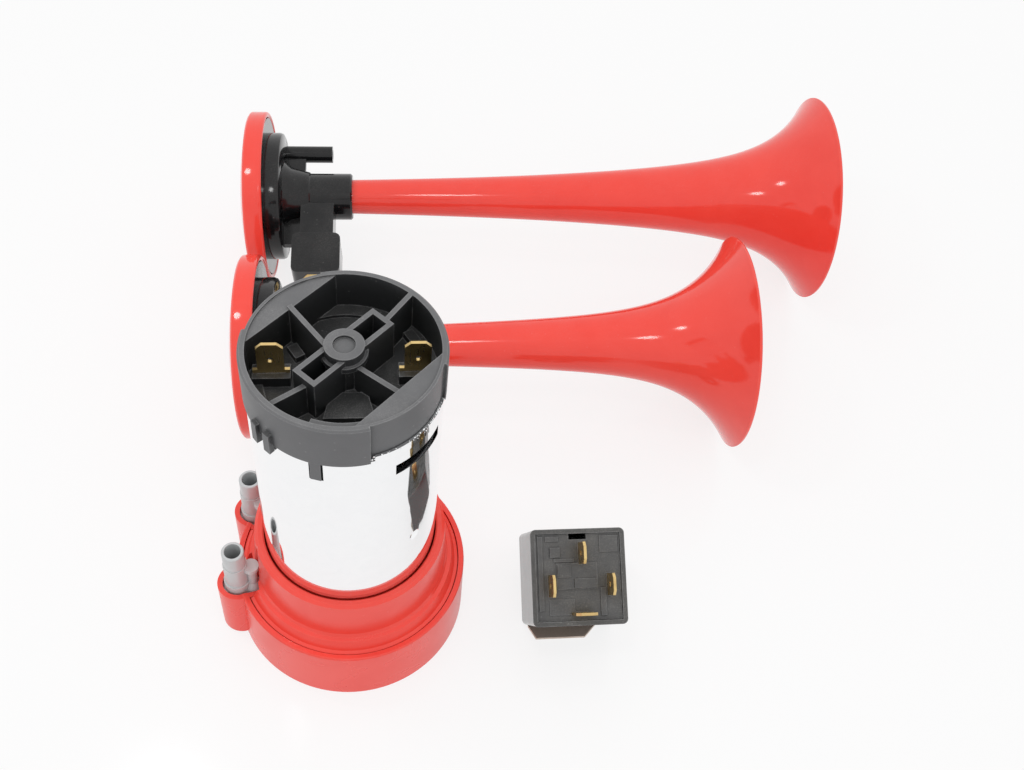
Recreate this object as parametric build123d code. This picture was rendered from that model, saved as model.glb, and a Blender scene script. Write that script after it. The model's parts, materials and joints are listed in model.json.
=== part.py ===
from build123d import *
from math import atan, cos, degrees, exp, radians, sin
import os

# Car air horn: a vane compressor driven by a small motor, a long and a short
# trumpet, and the relay that switches them. Millimetres, +Z up. The origin is
# the middle of the compressor's underside. The trumpets lie along X behind the
# compressor, the relay lies in front of them on its mounting ear.

# Fits and clearances
running_gap = 0.3        # between turning pieces and what stands still
press_gap = 0.02         # between pieces pressed together
seat_gap = 0.1           # between pieces that drop into one another
bush_gap = 0.04          # round the shaft in its two bushes
overlap = 0.5            # how far joined forms of one piece run into each other
beyond = 1.0             # how far a cut runs past the surface it opens

# Motor can, the size that the cap, the collar and the motor follow
can_radius = 24.0
can_wall = 1.5
can_height = 83.1
can_corner = 2.0
slot_height = 3.9
slot_drop = 7.1          # from the can's mouth to the middle of the slot
slot_angles = (-61.0, -23.0)
dimple_drop = 44.0
dimple_radius = 2.3
dimple_depth = 0.9
dimple_angles = (-45.0, 135.0)
can_inner = can_radius - can_wall

# End cap
cap_radius = can_radius + 0.5
cap_height = 13.6
cap_wall = 1.7
cap_floor = 2.4
cap_lip = 0.5            # bevel along the rim's outer edge
spigot_depth = 6.0
spigot_wall = 1.5
ridge_angles = (-145.0, -135.0)
ridge_width = 2.0
ridge_height = 6.8
ridge_hang = 2.6         # how far the ridges reach below the cap's edge
ridge_rise = 1.1
latch_angle = -106.8
latch_width = 2.6
latch_length = 6.8
latch_gap = 0.4
loop_length = 26.2
loop_width = 7.0
loop_turn = 45.0
rib_wall = 1.3
low_rib_drop = 2.4
rib_lines = ((53.0, -3.0, 0.0), (125.0, 3.2, 0.0),
             (-147.0, 3.0, low_rib_drop), (-39.0, -1.3, low_rib_drop))   # angle, shift aside, drop
chord_distance = can_radius - 6.5
chord_drop = 0.4
chord_plate = 2.0
recess_depth = 0.9
recess_half_angle = 31.5
lug_height = 2.2
lug_thickness = 0.7
lug_inset_angle = 2.5
hub_radius = 4.8
hub_rise = 0.8
hub_step_radius = 5.6
hub_step = (1.7, 3.2)    # how far below the rim the hub's collar begins and ends
hub_foot_radius = 6.4
hub_foot_rise = 1.6
hub_dimple_radius = 2.7
hub_dimple_depth = 0.7
step_radius = can_radius - 4.6   # inner part of the cap's floor lies lower
step_depth = 0.9
pad_near, pad_far = 5.6, 13.2    # the raised pad in front of the hub
pad_near_width, pad_far_width = 8.6, 12.2
pad_shift = 0.9
pad_height = 1.9
ledge_drop = 2.7         # the grooved ledge inside the front wall
ledge_width = 2.9
ledge_angles = (-112.0, -76.0)
ledge_groove = 0.45
stud_size = (2.6, 4.2)   # small square studs on the cap's floor
stud_height = 1.9
stud_places = ((can_radius - 10.2, 148.0), (can_radius - 4.0, 35.0))
terminal_distance = can_radius - 6.8
terminal_seat_height = 2.3
seat_length = 9.0
seat_width = 4.4
cap_inner = cap_radius - cap_wall
cap_spigot = can_inner - seat_gap

# Blade terminals, all 6.3 x 0.8
blade_width = 6.3
blade_thickness = 0.8
blade_hole_radius = 0.85
blade_hole_share = 0.46  # height of the hole as a share of the blade's rise
blade_bevel = 1.4
terminal_rise = 10.1
shoulder_width = 8.7
shoulder_height = 1.0

# Motor
shaft_radius = 2.0
magnet_thickness = 5.6
magnet_half_angle = 62.0
magnet_overhang = 3.0
air_gap = 0.8
armature_radius = can_inner - seat_gap - magnet_thickness - air_gap
armature_length = 34.0
armature_low = 47.0
pole_count = 5
pole_arm_width = 3.6
pole_shoe_thickness = 2.6
pole_gap_angle = 9.0
core_hub_radius = 5.6
winding_overhang = 7.0
winding_corner = 2.0
commutator_radius = 5.4
commutator_length = 10.0
commutator_slit = 0.5
slit_depth = 0.7
riser_height = 1.4
riser_rise = 1.0
brush_width = 5.4
brush_height = 4.4
brush_length = 7.4
brush_reach = 1.1        # how far a brush stands out of its holder
brush_box_wall = 0.5
spring_radius = 1.9
spring_wire = 0.25
spring_turns = 5
upper_bush_radius = 4.0
upper_bush_length = 6.0
lower_bush_radius = 5.0
lower_bush_length = 5.0
bush_seat_rise = 1.4     # floor of the cap under the upper bush

# Pump
base_radius = can_radius + 9.8
base_draft = 0.4         # how much narrower the base is at its rim
base_floor = 3.0
base_rim = 21.0
base_lip = 1.6
base_ledge = 1.5         # inside step that carries the cover
base_corner = 0.5
plate_seat = 4.2
seat_ring_width = 5.0
plate_thickness = 1.4
pump_depth = 8.0
ring_radius = base_radius - 11.8
pump_bore = 15.0
pump_offset = 1.5
rotor_radius = 13.2
vane_count = 4
vane_thickness = 1.5
vane_length = 6.4
vane_slot_gap = 0.1
web_thickness = 4.0
collar_radius = can_radius + 2.9
collar_top = 40.0
collar_draft = 0.9
collar_corner = 0.9
collar_mouth = 0.5       # bevel of the mouth that the can drops into
cover_edge_bevel = 0.9
cone_rise = 3.6
cone_width = 1.6
cone_corner = 0.5
insert_radius = 5.0
insert_length = 6.2
insert_bevel = 0.4
insert_wall = 2.5
thread_radius = 2.6      # M6 tapping hole
base_screw_angles = (30.0, 105.0, -105.0, -30.0)
base_screw_circle = base_radius - 7.2
base_post_radius = 3.3
screw_radius = 1.45
screw_head_radius = 2.6
screw_head_height = 2.0
screw_head_sink = 0.6
screw_cross = (3.4, 0.9, 0.9)    # length, width and depth of the drive's cross
screw_bite = 3.4
motor_screw_circle = 12.5
motor_screw_angles = (90.0, -90.0)
motor_screw_bite = 3.5

# Air ports
outlet_angle = 192.4
inlet_angle = 150.0
port_distance = base_radius - 0.3
lobe_radius = 5.9
lobe_wall = 1.5
lobe_foot = 0.5          # the lobes end this far above the ground
lobe_drop = 0.2          # and this far below the base's rim
pocket_floor = 17.0
nozzle_radius = 3.15
nozzle_bore = 2.35
nozzle_top = 38.2
nozzle_edge = 0.4
nozzle_shank_radius = 3.4
nozzle_shank_top = 31.6
nozzle_foot_radius = 3.8
nozzle_foot_rise = 4.0
port_bore = 1.6
spout_radius = 2.9
nozzle_foot = 2.0
clamp_distance = port_distance - 4.2
clamp_turn = 3.0
clamp_foot_radius = 2.6
clamp_waist_radius = 1.4
clamp_head_radius = 2.2
clamp_height = 12.0

# Trumpet heads, stations measured from the cover's rim along the trumpet
cover_radius = 33.6
cover_band = 7.2
cover_crown = 10.6
cover_wall = 2.1
cover_edge = 2.6
cover_bevel = 0.5
cover_shoulder = (0.7, 0.9)
dome_share = 0.72        # where the dome's slope changes, as a share of the radius
clamp_depth = 4.9
gasket_thickness = 1.0
gasket_width = 5.2
diaphragm_thickness = 0.4
diaphragm_radius = 30.4
body_flange_radius = 31.3
body_flange_inset = 0.3
body_radius = 26.6
body_depth = 6.2
body_corner = 1.2
chamber_radius = 24.4
chamber_depth = 3.7
throat_radius = 4.4
throat_wall = 2.6
throat_lift = 0.3        # the throat stands this far from the diaphragm
hub_cone_radius = 13.5
hub_cone_step = (2.2, 2.4)
hub_cone_end = 14.0
socket_radius = 8.9
socket_step = 0.4
socket_end = 32.3
socket_depth = 13.6
socket_edge = 0.6
nipple_offset = 22.0
nipple_radius = 3.1
nipple_bore = 1.8
nipple_end = 24.4
nipple_collar = (0.9, 1.6)       # how far it stands out, and its height
web_width = 2.4
foot_width = 14.0
foot_reach = 34.5
foot_pad_depth = 15.0
foot_pad = (11.7, 28.7)
foot_neck = (14.5, 25.0)
foot_neck_inset = 1.0
foot_corner = 2.2
nut_across = 10.0
nut_height = 5.0
foot_bolt_radius = 3.2
foot_bolt_depth = 12.0
foot_middle = (foot_pad[0] + foot_pad[1]) / 2

# Trumpets: radius = stem + taper * exp(-d / taper_run) + flare * exp(-d / flare_run),
# where d is the distance back from the rim
trumpet_wall = 1.7
rim_bead = 1.1
plug_radius = 6.0
long_horn = dict(name="long", y=139.3, length=203.3, stem=4.8,
                 taper=12.0, taper_run=90.0, flare=19.8, flare_run=20.0)
short_horn = dict(name="short", y=68.6, length=157.0, stem=5.0,
                  taper=9.0, taper_run=70.0, flare=21.5, flare_run=14.0)
heads_x = -30.7
profile_steps = (1.0, 0.8, 0.6, 0.42, 0.28, 0.18, 0.11, 0.055, 0.02, 0.0)

# Relay
relay_x = 65.9
relay_y = -14.6
relay_width = 28.0
relay_depth = 28.0
relay_height = 25.0
relay_wall = 1.4
relay_corner = 1.6
relay_base_thickness = 2.6
relay_base_inset = 0.6
relay_notch = (5.2, 1.6)         # width and depth of the base's notch
relay_raised = (-6.5, 5.5, -3.5, 4.0)    # the raised field on the base, from its middle
relay_raised_height = 0.4
ear_width = 13.0
ear_length = 13.7
ear_root = 0.5
ear_thickness = 2.2
ear_hole_radius = 2.7
relay_blade_rise = 9.0
relay_blade_tail = 1.0
relay_pins = (("coil_left", -8.6, -2.4, 90.0), ("coil_right", 8.8, -2.4, 90.0),
              ("output", 0.6, 6.8, 90.0), ("supply", 0.6, -10.6, 0.0))
pin_gap = 0.05
coil_radius = 7.2
coil_length = 13.0
coil_gap = 1.5
coil_flange = (1.0, 0.8)         # thickness of the bobbin's flanges, and their rise over the wire
yoke_thickness = 1.4
yoke_width = 13.0
yoke_gap = 0.6
armature_plate = 1.2
armature_lift = 1.0
relay_tilt = degrees(atan(ear_length / (relay_depth - ear_thickness)))

# Heights that follow from the stack of pieces
lower_plate_z = base_floor + plate_seat
pump_low = lower_plate_z + plate_thickness
pump_high = pump_low + pump_depth
pump_mid = (pump_low + pump_high) / 2
web_low = pump_high + plate_thickness
can_low = web_low + web_thickness
can_high = can_low + can_height
cap_high = can_high + cap_height
cap_floor_high = can_high + cap_floor
cap_step_z = cap_floor_high - step_depth
armature_high = armature_low + armature_length
commutator_high = can_high - running_gap
commutator_low = commutator_high - commutator_length
upper_bush_low = can_high + bush_seat_rise
lower_bush_low = web_low + running_gap + can_wall / 2
brush_z = can_high - brush_box_wall - seat_gap / 2 - brush_height / 2
brush_inner = commutator_radius + running_gap
brush_box_inner = brush_inner + brush_reach
brush_box_outer = terminal_distance + blade_width / 2
cover_rim_z = base_rim - 0.3
coil_y = relay_depth / 2 - 1.0
armature_low_z = relay_wall + armature_lift
coil_low = armature_low_z + armature_plate + coil_gap
coil_high = coil_low + coil_length
yoke_y = coil_y + coil_radius + yoke_gap


def cylinder(radius, low, high, x=0.0, y=0.0):
    return Pos(x, y, low) * Cylinder(radius, high - low, align=(Align.CENTER, Align.CENTER, Align.MIN))


def ring(outer, inner, low, high, x=0.0, y=0.0):
    return cylinder(outer, low, high, x, y) - cylinder(inner, low - beyond, high + beyond, x, y)


def block(x0, x1, y0, y1, z0, z1):
    return Pos((x0 + x1) / 2, (y0 + y1) / 2, (z0 + z1) / 2) * Box(x1 - x0, y1 - y0, z1 - z0)


def polar(distance, angle):
    return distance * cos(radians(angle)), distance * sin(radians(angle))


# A turned solid: points are (radius, height) pairs round the Z axis.
def turned(points):
    outline = Plane.XZ * make_face(Polyline([(r, z) for r, z in points], close=True))
    return revolve(outline, Axis.Z)


# Part of a ring between two angles.
def sector(inner, outer, start, end, low, high):
    middle = ((inner + outer) / 2, (low + high) / 2)
    section = Plane.XZ * Pos(*middle) * Rectangle(outer - inner, high - low)
    return Rot(0, 0, start) * revolve(section, Axis.Z, revolution_arc=end - start)


# A bar that runs outwards at an angle, moved aside from the axis by 'shift'.
def spoke(start, end, width, angle, low, high, shift=0.0):
    return Rot(0, 0, angle) * block(start, end, shift - width / 2, shift + width / 2, low, high)


# A round bar that runs outwards at an angle.
def round_spoke(radius, start, end, angle, z):
    bar = Rot(0, 90, 0) * Cylinder(radius, end - start, align=(Align.CENTER, Align.CENTER, Align.MIN))
    return Rot(0, 0, angle) * Pos(start, 0, z) * bar


# The round end of a lobe and the straight part that joins it to the middle.
def port_plan(radius, near, angle, low, high):
    x, y = polar(port_distance, angle)
    return spoke(near, port_distance, 2 * radius, angle, low, high) + cylinder(radius, low, high, x, y)


def save(name, shape):
    shape.label = name
    export_step(shape, "parts/" + name + ".step")


# The drawn can: open at the top, with a boss for the lower bush in its floor.
def motor_can():
    boss_radius = lower_bush_radius + can_wall
    boss_low = web_low + running_gap
    outer = cylinder(can_radius, can_low, can_high)
    outer = fillet(outer.edges().sort_by(Axis.Z)[0], can_corner)
    can = outer - cylinder(can_inner, can_low + can_wall, can_high + beyond)
    can += cylinder(boss_radius, boss_low, can_low + can_wall)
    can -= cylinder(lower_bush_radius + press_gap, lower_bush_low, can_high)
    can -= cylinder(shaft_radius + running_gap, 0, can_high)
    slot_z = can_high - slot_drop
    start, end = slot_angles
    through = can_inner - can_wall
    can -= sector(through, can_radius + beyond, start, end, slot_z - slot_height / 2, slot_z + slot_height / 2)
    can -= spoke(through, can_radius + beyond, latch_width + 2 * latch_gap, latch_angle,
                 can_high - latch_length - latch_gap, can_high + beyond)
    for angle in motor_screw_angles:
        x, y = polar(motor_screw_circle, angle)
        can -= cylinder(screw_radius + press_gap, can_low - beyond, can_low + can_wall + beyond, x, y)
    for angle in dimple_angles:
        x, y = polar(can_radius + dimple_radius - dimple_depth, angle)
        can -= Pos(x, y, can_high - dimple_drop) * Sphere(dimple_radius)
    for middle in (loop_turn + 90, loop_turn - 90):
        can += crimp_lug(middle)
    return can


# A lug of the can's edge, bent over the recess in the cap's side.
def crimp_lug(middle):
    half = recess_half_angle - lug_inset_angle
    inner = cap_radius - recess_depth + seat_gap
    return sector(inner, inner + lug_thickness, middle - half, middle + half,
                  can_high - lug_thickness, can_high + lug_height)


# The moulded cap that closes the can, carries the tabs and holds the upper bush.
def end_cap():
    cap = ring(cap_radius, cap_inner, can_high, cap_high)
    cap = chamfer(cap.edges().filter_by_position(Axis.Z, cap_high, cap_high).sort_by(SortBy.LENGTH)[-1], cap_lip)
    cap += cylinder(cap_inner + overlap, can_high, cap_floor_high)
    cap += ring(cap_spigot, cap_spigot - spigot_wall, can_high - spigot_depth, can_high + overlap)
    cap -= cylinder(step_radius, cap_step_z, cap_floor_high + beyond)
    cap += cap_hub()
    for middle in (loop_turn + 90, loop_turn - 90):
        cap = chord_pocket(cap, middle)
    cap += cap_ribs()
    cap += front_pad()
    cap += front_ledge()
    for distance, angle in stud_places:
        cap += floor_stud(distance, angle)
    cap -= cylinder(shaft_radius + running_gap, can_high - beyond, upper_bush_low + overlap)
    cap -= cylinder(upper_bush_radius + press_gap, upper_bush_low, upper_bush_low + upper_bush_length)
    for angle in (0, 180):
        cap += terminal_seat(angle)
        cap -= terminal_slit(angle)
    for angle in ridge_angles:
        cap += spoke(can_radius + seat_gap, cap_radius + ridge_rise, ridge_width, angle,
                     can_high - ridge_hang, can_high - ridge_hang + ridge_height)
    cap += spoke(cap_spigot - overlap, cap_radius - seat_gap, latch_width, latch_angle,
                 can_high - latch_length, can_high + overlap)
    return cap


# The tower over the bush, with its collar, its foot and the dimple in its top.
def cap_hub():
    top = cap_high + hub_rise
    collar_high, collar_low = (cap_high - drop for drop in hub_step)
    return turned([(0, can_high), (hub_foot_radius, can_high), (hub_foot_radius, cap_step_z),
                   (hub_radius, cap_step_z + hub_foot_rise), (hub_radius, collar_low),
                   (hub_step_radius, collar_low), (hub_step_radius, collar_high), (hub_radius, collar_high),
                   (hub_radius, top), (hub_dimple_radius, top), (hub_dimple_radius, top - hub_dimple_depth),
                   (0, top - hub_dimple_depth)])


# A raised plate across the cap on one side, hollow from below, with the
# cap's side wall set back behind it to make room for the can's lug.
def chord_pocket(cap, middle):
    top = cap_high - chord_drop
    turn = Rot(0, 0, middle)
    reach = cap_radius + beyond
    filled = cylinder(cap_inner + overlap, can_high, top)
    filled &= turn * block(chord_distance, reach, -reach, reach, can_high, top)
    hollow = cylinder(cap_radius - recess_depth - cap_wall, can_high - beyond, top - chord_plate)
    hollow &= turn * block(chord_distance + rib_wall, reach, -reach, reach, can_high - beyond, top)
    hollow -= ring(can_inner, cap_spigot - spigot_wall - seat_gap, can_high - beyond, can_high)
    recess = sector(cap_radius - recess_depth, reach, middle - recess_half_angle,
                    middle + recess_half_angle, can_high - beyond, cap_high + beyond)
    return cap + filled - recess - hollow


# The long loop round the hub, and the four ribs that tie it to the wall.
def cap_ribs():
    low = can_high + overlap
    half_length, half_width = loop_length / 2, loop_width / 2
    loop = block(-half_length, half_length, -half_width, half_width, low, cap_high)
    half_length -= rib_wall
    half_width -= rib_wall
    well = block(-half_length, half_length, -half_width, half_width, cap_step_z, cap_high + beyond)
    ribs = Rot(0, 0, loop_turn) * (loop - (well - cylinder(hub_radius, 0, cap_high + 2 * beyond)))
    room = cylinder(cap_inner + overlap, 0, cap_high)
    inside = Rot(0, 0, loop_turn) * block(-loop_length / 2 + overlap, loop_length / 2 - overlap,
                                          -half_width, half_width, 0, cap_high)
    for angle, shift, drop in rib_lines:
        along = angle - loop_turn
        end = cap_inner + overlap if abs(sin(radians(along))) < 0.5 else chord_distance + overlap
        ribs += (spoke(0, end, rib_wall, angle, low, cap_high - drop, shift) & room) - inside
    return ribs


# The raised pad in front of the hub, wider towards the wall.
def front_pad():
    near, far = pad_near_width / 2, pad_far_width / 2
    plan = make_face(Polyline([(-near, -pad_near), (near, -pad_near), (far, -pad_far), (-far, -pad_far)],
                              close=True))
    return Pos(pad_shift, 0, cap_step_z - seat_gap) * extrude(plan, pad_height + seat_gap)


# A ledge with a groove along it, inside the front wall.
def front_ledge():
    start, end = ledge_angles
    high = cap_high - ledge_drop
    outer = cap_inner + overlap
    inner = cap_inner - ledge_width
    groove = (inner + cap_inner) / 2
    ledge = sector(inner, outer, start, end, can_high + overlap, high)
    return ledge - sector(groove, groove + ledge_groove, start - beyond, end + beyond,
                          high - ledge_groove, high + beyond)


def floor_stud(distance, angle):
    wide, deep = stud_size
    x, y = polar(distance, angle)
    stud = block(-wide / 2, wide / 2, -deep / 2, deep / 2, can_high + overlap, cap_step_z + stud_height)
    return Pos(x, y, 0) * Rot(0, 0, loop_turn - 15) * stud


def terminal_seat(angle):
    half = seat_length / 2
    return spoke(terminal_distance - half, min(terminal_distance + half, cap_inner), seat_width, angle,
                 can_high + overlap, cap_floor_high + terminal_seat_height)


# The slit that a tab stands in.
def terminal_slit(angle):
    half = (blade_width + seat_gap) / 2
    return spoke(terminal_distance - half, terminal_distance + half, blade_thickness + seat_gap, angle,
                 can_high - beyond, cap_high)


# One blade in the XZ plane with its shoulders at height 0, rising to 'rise'.
def blade(rise, tail, shoulder=0.0):
    half = blade_width / 2
    outline = [(-half, -tail), (half, -tail), (half, rise - blade_bevel), (half - blade_bevel, rise),
               (-half + blade_bevel, rise), (-half, rise - blade_bevel)]
    face = make_face(Polyline(outline, close=True))
    if shoulder:
        face += Pos(0, shoulder_height / 2) * Rectangle(shoulder, shoulder_height)
    face -= Pos(0, rise * blade_hole_share) * Circle(blade_hole_radius)
    return Pos(0, blade_thickness / 2, 0) * extrude(Plane.XZ * face, blade_thickness)


def terminal(side):
    seat_z = cap_floor_high + terminal_seat_height
    return Pos(side * terminal_distance, 0, seat_z) * blade(terminal_rise, seat_z - can_high, shoulder_width)


def magnet(middle):
    outer = can_inner - seat_gap
    return sector(outer - magnet_thickness, outer, middle - magnet_half_angle, middle + magnet_half_angle,
                  armature_low - magnet_overhang, armature_high + magnet_overhang)


# The stack of laminations: a hub, and an arm with a curved shoe for each pole.
def armature_core():
    core = cylinder(core_hub_radius, armature_low, armature_high)
    shoe_inner = armature_radius - pole_shoe_thickness
    pitch = 360 / pole_count
    half = (pitch - pole_gap_angle) / 2
    for index in range(pole_count):
        angle = index * pitch
        core += spoke(0, shoe_inner + overlap, pole_arm_width, angle, armature_low, armature_high)
        core += sector(shoe_inner, armature_radius, angle - half, angle + half, armature_low, armature_high)
    return core - cylinder(shaft_radius + press_gap, 0, cap_high)


# The wire, as one rounded body that leaves room for the laminations' arms.
def armature_winding():
    outer = armature_radius - pole_shoe_thickness - seat_gap
    low, high = armature_low - winding_overhang, armature_high + winding_overhang
    coil = ring(outer, core_hub_radius + seat_gap, low, high)
    for level in (low, high):
        ends = coil.edges().filter_by(GeomType.CIRCLE).filter_by_position(Axis.Z, level, level)
        coil = fillet(ends, winding_corner)
    for index in range(pole_count):
        coil -= spoke(0, armature_radius, pole_arm_width + 2 * seat_gap, index * 360 / pole_count,
                      armature_low - seat_gap, armature_high + seat_gap)
    return coil


def commutator():
    body = cylinder(commutator_radius, commutator_low, commutator_high)
    body += cylinder(commutator_radius + riser_rise, commutator_low, commutator_low + riser_height)
    body -= cylinder(shaft_radius + press_gap, 0, cap_high)
    for index in range(pole_count):
        body -= spoke(commutator_radius - slit_depth, can_inner, commutator_slit,
                      (index + 0.5) * 360 / pole_count, 0, cap_high)
    return body


def motor_shaft():
    return cylinder(shaft_radius, pump_low + running_gap, upper_bush_low + upper_bush_length - running_gap)


def bush(radius, low, length):
    return ring(radius, shaft_radius + bush_gap, low, low + length)


# A brush holder is a box that is open towards the commutator.
def brush_holder(angle):
    wide = (brush_width + seat_gap) / 2
    tall = (brush_height + seat_gap) / 2
    wall = brush_box_wall
    outer = block(brush_box_inner, brush_box_outer, -wide - wall, wide + wall,
                  brush_z - tall - wall, brush_z + tall + wall)
    inner = block(brush_box_inner - beyond, brush_box_outer - wall, -wide, wide, brush_z - tall, brush_z + tall)
    return Rot(0, 0, angle) * (outer - inner)


def brush(angle):
    return spoke(brush_inner, brush_inner + brush_length, brush_width, angle,
                 brush_z - brush_height / 2, brush_z + brush_height / 2)


def brush_spring(angle):
    start = brush_inner + brush_length + spring_wire + seat_gap / 2
    end = brush_box_outer - brush_box_wall - spring_wire - seat_gap / 2
    path = Helix((end - start) / spring_turns, end - start, spring_radius)
    section = Plane(origin=path @ 0, z_dir=path % 0) * Circle(spring_wire)
    coil = sweep(section, path=path)
    return Rot(0, 0, angle) * Pos(start, 0, brush_z) * Rot(0, 90, 0) * coil


# The moulded base: a hollow drum with two lobes for the air ports.
def pump_base():
    ports = (outlet_angle, inlet_angle)
    rim_radius = base_radius - base_draft
    lip_inner = rim_radius - base_lip
    cavity = lip_inner - base_ledge
    root = cavity - base_ledge
    base = turned([(0, 0), (base_radius, 0), (rim_radius, base_rim), (0, base_rim)])
    base = fillet(base.edges().sort_by(Axis.Z)[-1], base_corner)
    base -= cylinder(lip_inner, web_low, base_rim + beyond)
    base -= cylinder(cavity, base_floor, web_low + beyond)
    for angle in ports:
        base += port_plan(lobe_radius, root, angle, lobe_foot, base_rim - lobe_drop)
        base -= port_plan(lobe_radius - lobe_wall, 0, angle, pocket_floor, base_rim + beyond)
        x, y = polar(port_distance, angle)
        base -= cylinder(port_bore, pump_mid, pocket_floor + beyond, x, y)
        base -= round_spoke(port_bore, root - beyond, port_distance, angle, pump_mid)
    base += ring(ring_radius, ring_radius - seat_ring_width, base_floor - overlap, lower_plate_z)
    base += cylinder(insert_radius + insert_wall, base_floor - overlap, insert_length + overlap)
    base -= cylinder(insert_radius + press_gap, -beyond, insert_length)
    for angle in base_screw_angles:
        x, y = polar(base_screw_circle, angle)
        base += cylinder(base_post_radius, base_floor - overlap, web_low, x, y)
        base -= cylinder(screw_radius + seat_gap, -beyond, web_low + beyond, x, y)
        base -= cylinder(screw_head_radius + seat_gap, -beyond, screw_head_sink + screw_head_height, x, y)
    return base


# The cover of the pump, with the collar that the can stands in.
def pump_cover():
    flange = base_radius - base_draft - base_lip - running_gap
    foot = collar_radius + collar_draft
    cone_top = cover_rim_z + cone_rise
    inner = can_radius + running_gap
    cover = turned([(0, web_low), (flange, web_low), (flange, cover_rim_z),
                    (flange - cover_edge_bevel, cover_rim_z + cone_corner),
                    (foot + cone_width, cone_top), (foot + cone_corner, cone_top + cone_corner),
                    (foot, cone_top + cone_width), (collar_radius, collar_top - collar_corner),
                    (collar_radius - collar_corner, collar_top), (inner + collar_mouth, collar_top),
                    (inner, collar_top - collar_mouth), (inner, can_low), (0, can_low)])
    cover -= cylinder(lower_bush_radius + can_wall + running_gap, 0, can_low + beyond)
    for angle in (outlet_angle, inlet_angle):
        cover -= port_plan(lobe_radius + running_gap, foot + running_gap, angle, 0, cone_top + 2 * beyond)
        x, y = clamp_place(angle)
        cover -= cylinder(clamp_foot_radius + seat_gap, 0, collar_top + beyond, x, y)
    for angle in base_screw_angles:
        x, y = polar(base_screw_circle, angle)
        cover -= cylinder(screw_radius + press_gap, 0, web_low + screw_bite, x, y)
    for angle in motor_screw_angles:
        x, y = polar(motor_screw_circle, angle)
        cover -= cylinder(screw_radius + seat_gap, 0, can_low + beyond, x, y)
        cover -= cylinder(screw_head_radius + seat_gap, 0, web_low + screw_head_height + 2 * seat_gap, x, y)
    return cover


# The ring that the vanes run in, with a spout towards each port.
def pump_ring():
    body = cylinder(ring_radius, pump_low, pump_high)
    for angle in (outlet_angle, inlet_angle):
        spout_end = port_distance - lobe_radius - seat_gap
        body += round_spoke(spout_radius, (pump_bore + ring_radius) / 2, spout_end, angle, pump_mid)
    body -= cylinder(pump_bore, 0, can_low, pump_offset, 0)
    for angle in (outlet_angle, inlet_angle):
        body -= round_spoke(port_bore, pump_bore / 2, base_radius, angle, pump_mid)
    return body


def pump_plate(low):
    return ring(ring_radius, shaft_radius + running_gap, low, low + plate_thickness)


def pump_rotor():
    low, high = pump_low + running_gap, pump_high - running_gap
    rotor = cylinder(rotor_radius, low, high) - cylinder(shaft_radius + press_gap, 0, can_low)
    for index in range(vane_count):
        rotor -= spoke(rotor_radius - vane_length - vane_slot_gap, ring_radius,
                       vane_thickness + 2 * vane_slot_gap, index * 360 / vane_count, 0, can_low)
    return rotor


# The vanes lie back in their slots while the pump stands still.
def pump_vanes():
    low, high = pump_low + running_gap, pump_high - running_gap
    vanes = []
    for index in range(vane_count):
        vanes.append(spoke(rotor_radius - vane_length, rotor_radius - vane_slot_gap, vane_thickness,
                           index * 360 / vane_count, low, high))
    return Compound(vanes)


# Screws on a circle, with their heads downwards.
def screws(circle, angles, head_low, shank_high):
    length, width, depth = screw_cross
    made = []
    for angle in angles:
        x, y = polar(circle, angle)
        head = cylinder(screw_head_radius, head_low, head_low + screw_head_height, x, y)
        head -= Pos(x, y, head_low) * Box(length, width, 2 * depth)
        head -= Pos(x, y, head_low) * Box(width, length, 2 * depth)
        made.append(head + cylinder(screw_radius, head_low + depth + overlap / 2, shank_high, x, y))
    return Compound(made)


def mounting_insert():
    insert = cylinder(insert_radius, 0, insert_length)
    insert = chamfer(insert.edges().sort_by(Axis.Z)[-1], insert_bevel)
    return insert - cylinder(thread_radius, -beyond, insert_length + beyond)


# Where the waisted clamp beside a nozzle stands.
def clamp_place(angle):
    return polar(clamp_distance, angle + clamp_turn)


# An upright spigot for a hose. Its foot fills the lobe's pocket, and a waisted
# clamp beside it is let into the collar.
def nozzle(angle):
    x, y = polar(port_distance, angle)
    foot_radius = lobe_radius - lobe_wall - seat_gap
    foot_high = pocket_floor + nozzle_foot
    near = collar_radius + collar_draft + 2 * running_gap
    body = cylinder(nozzle_radius, pocket_floor, nozzle_top, x, y)
    body = fillet(body.edges().sort_by(Axis.Z)[-1], nozzle_edge)
    body += cylinder(nozzle_shank_radius, pocket_floor, nozzle_shank_top, x, y)
    body += cylinder(nozzle_foot_radius, pocket_floor, foot_high + nozzle_foot_rise, x, y)
    body += port_plan(foot_radius, near, angle, pocket_floor, foot_high)
    clamp_x, clamp_y = clamp_place(angle)
    body += Pos(clamp_x, clamp_y, 0) * waisted_post(foot_high, foot_high + clamp_height)
    return body - cylinder(nozzle_bore, pocket_floor - beyond, nozzle_top + beyond, x, y)


# A post with a wide foot, a thin middle and a head.
def waisted_post(low, high):
    slope = clamp_foot_radius - clamp_waist_radius
    edge = clamp_head_radius - clamp_waist_radius
    return turned([(0, low - overlap), (clamp_foot_radius, low - overlap), (clamp_foot_radius, low + beyond),
                   (clamp_waist_radius, low + beyond + 2 * slope), (clamp_waist_radius, high - 4 * edge),
                   (clamp_head_radius, high - 2 * edge), (clamp_head_radius, high), (0, high)])


def horn_radius(horn, distance):
    taper = horn["taper"] * exp(-distance / horn["taper_run"])
    flare = horn["flare"] * exp(-distance / horn["flare_run"])
    return horn["stem"] + taper + flare


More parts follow.
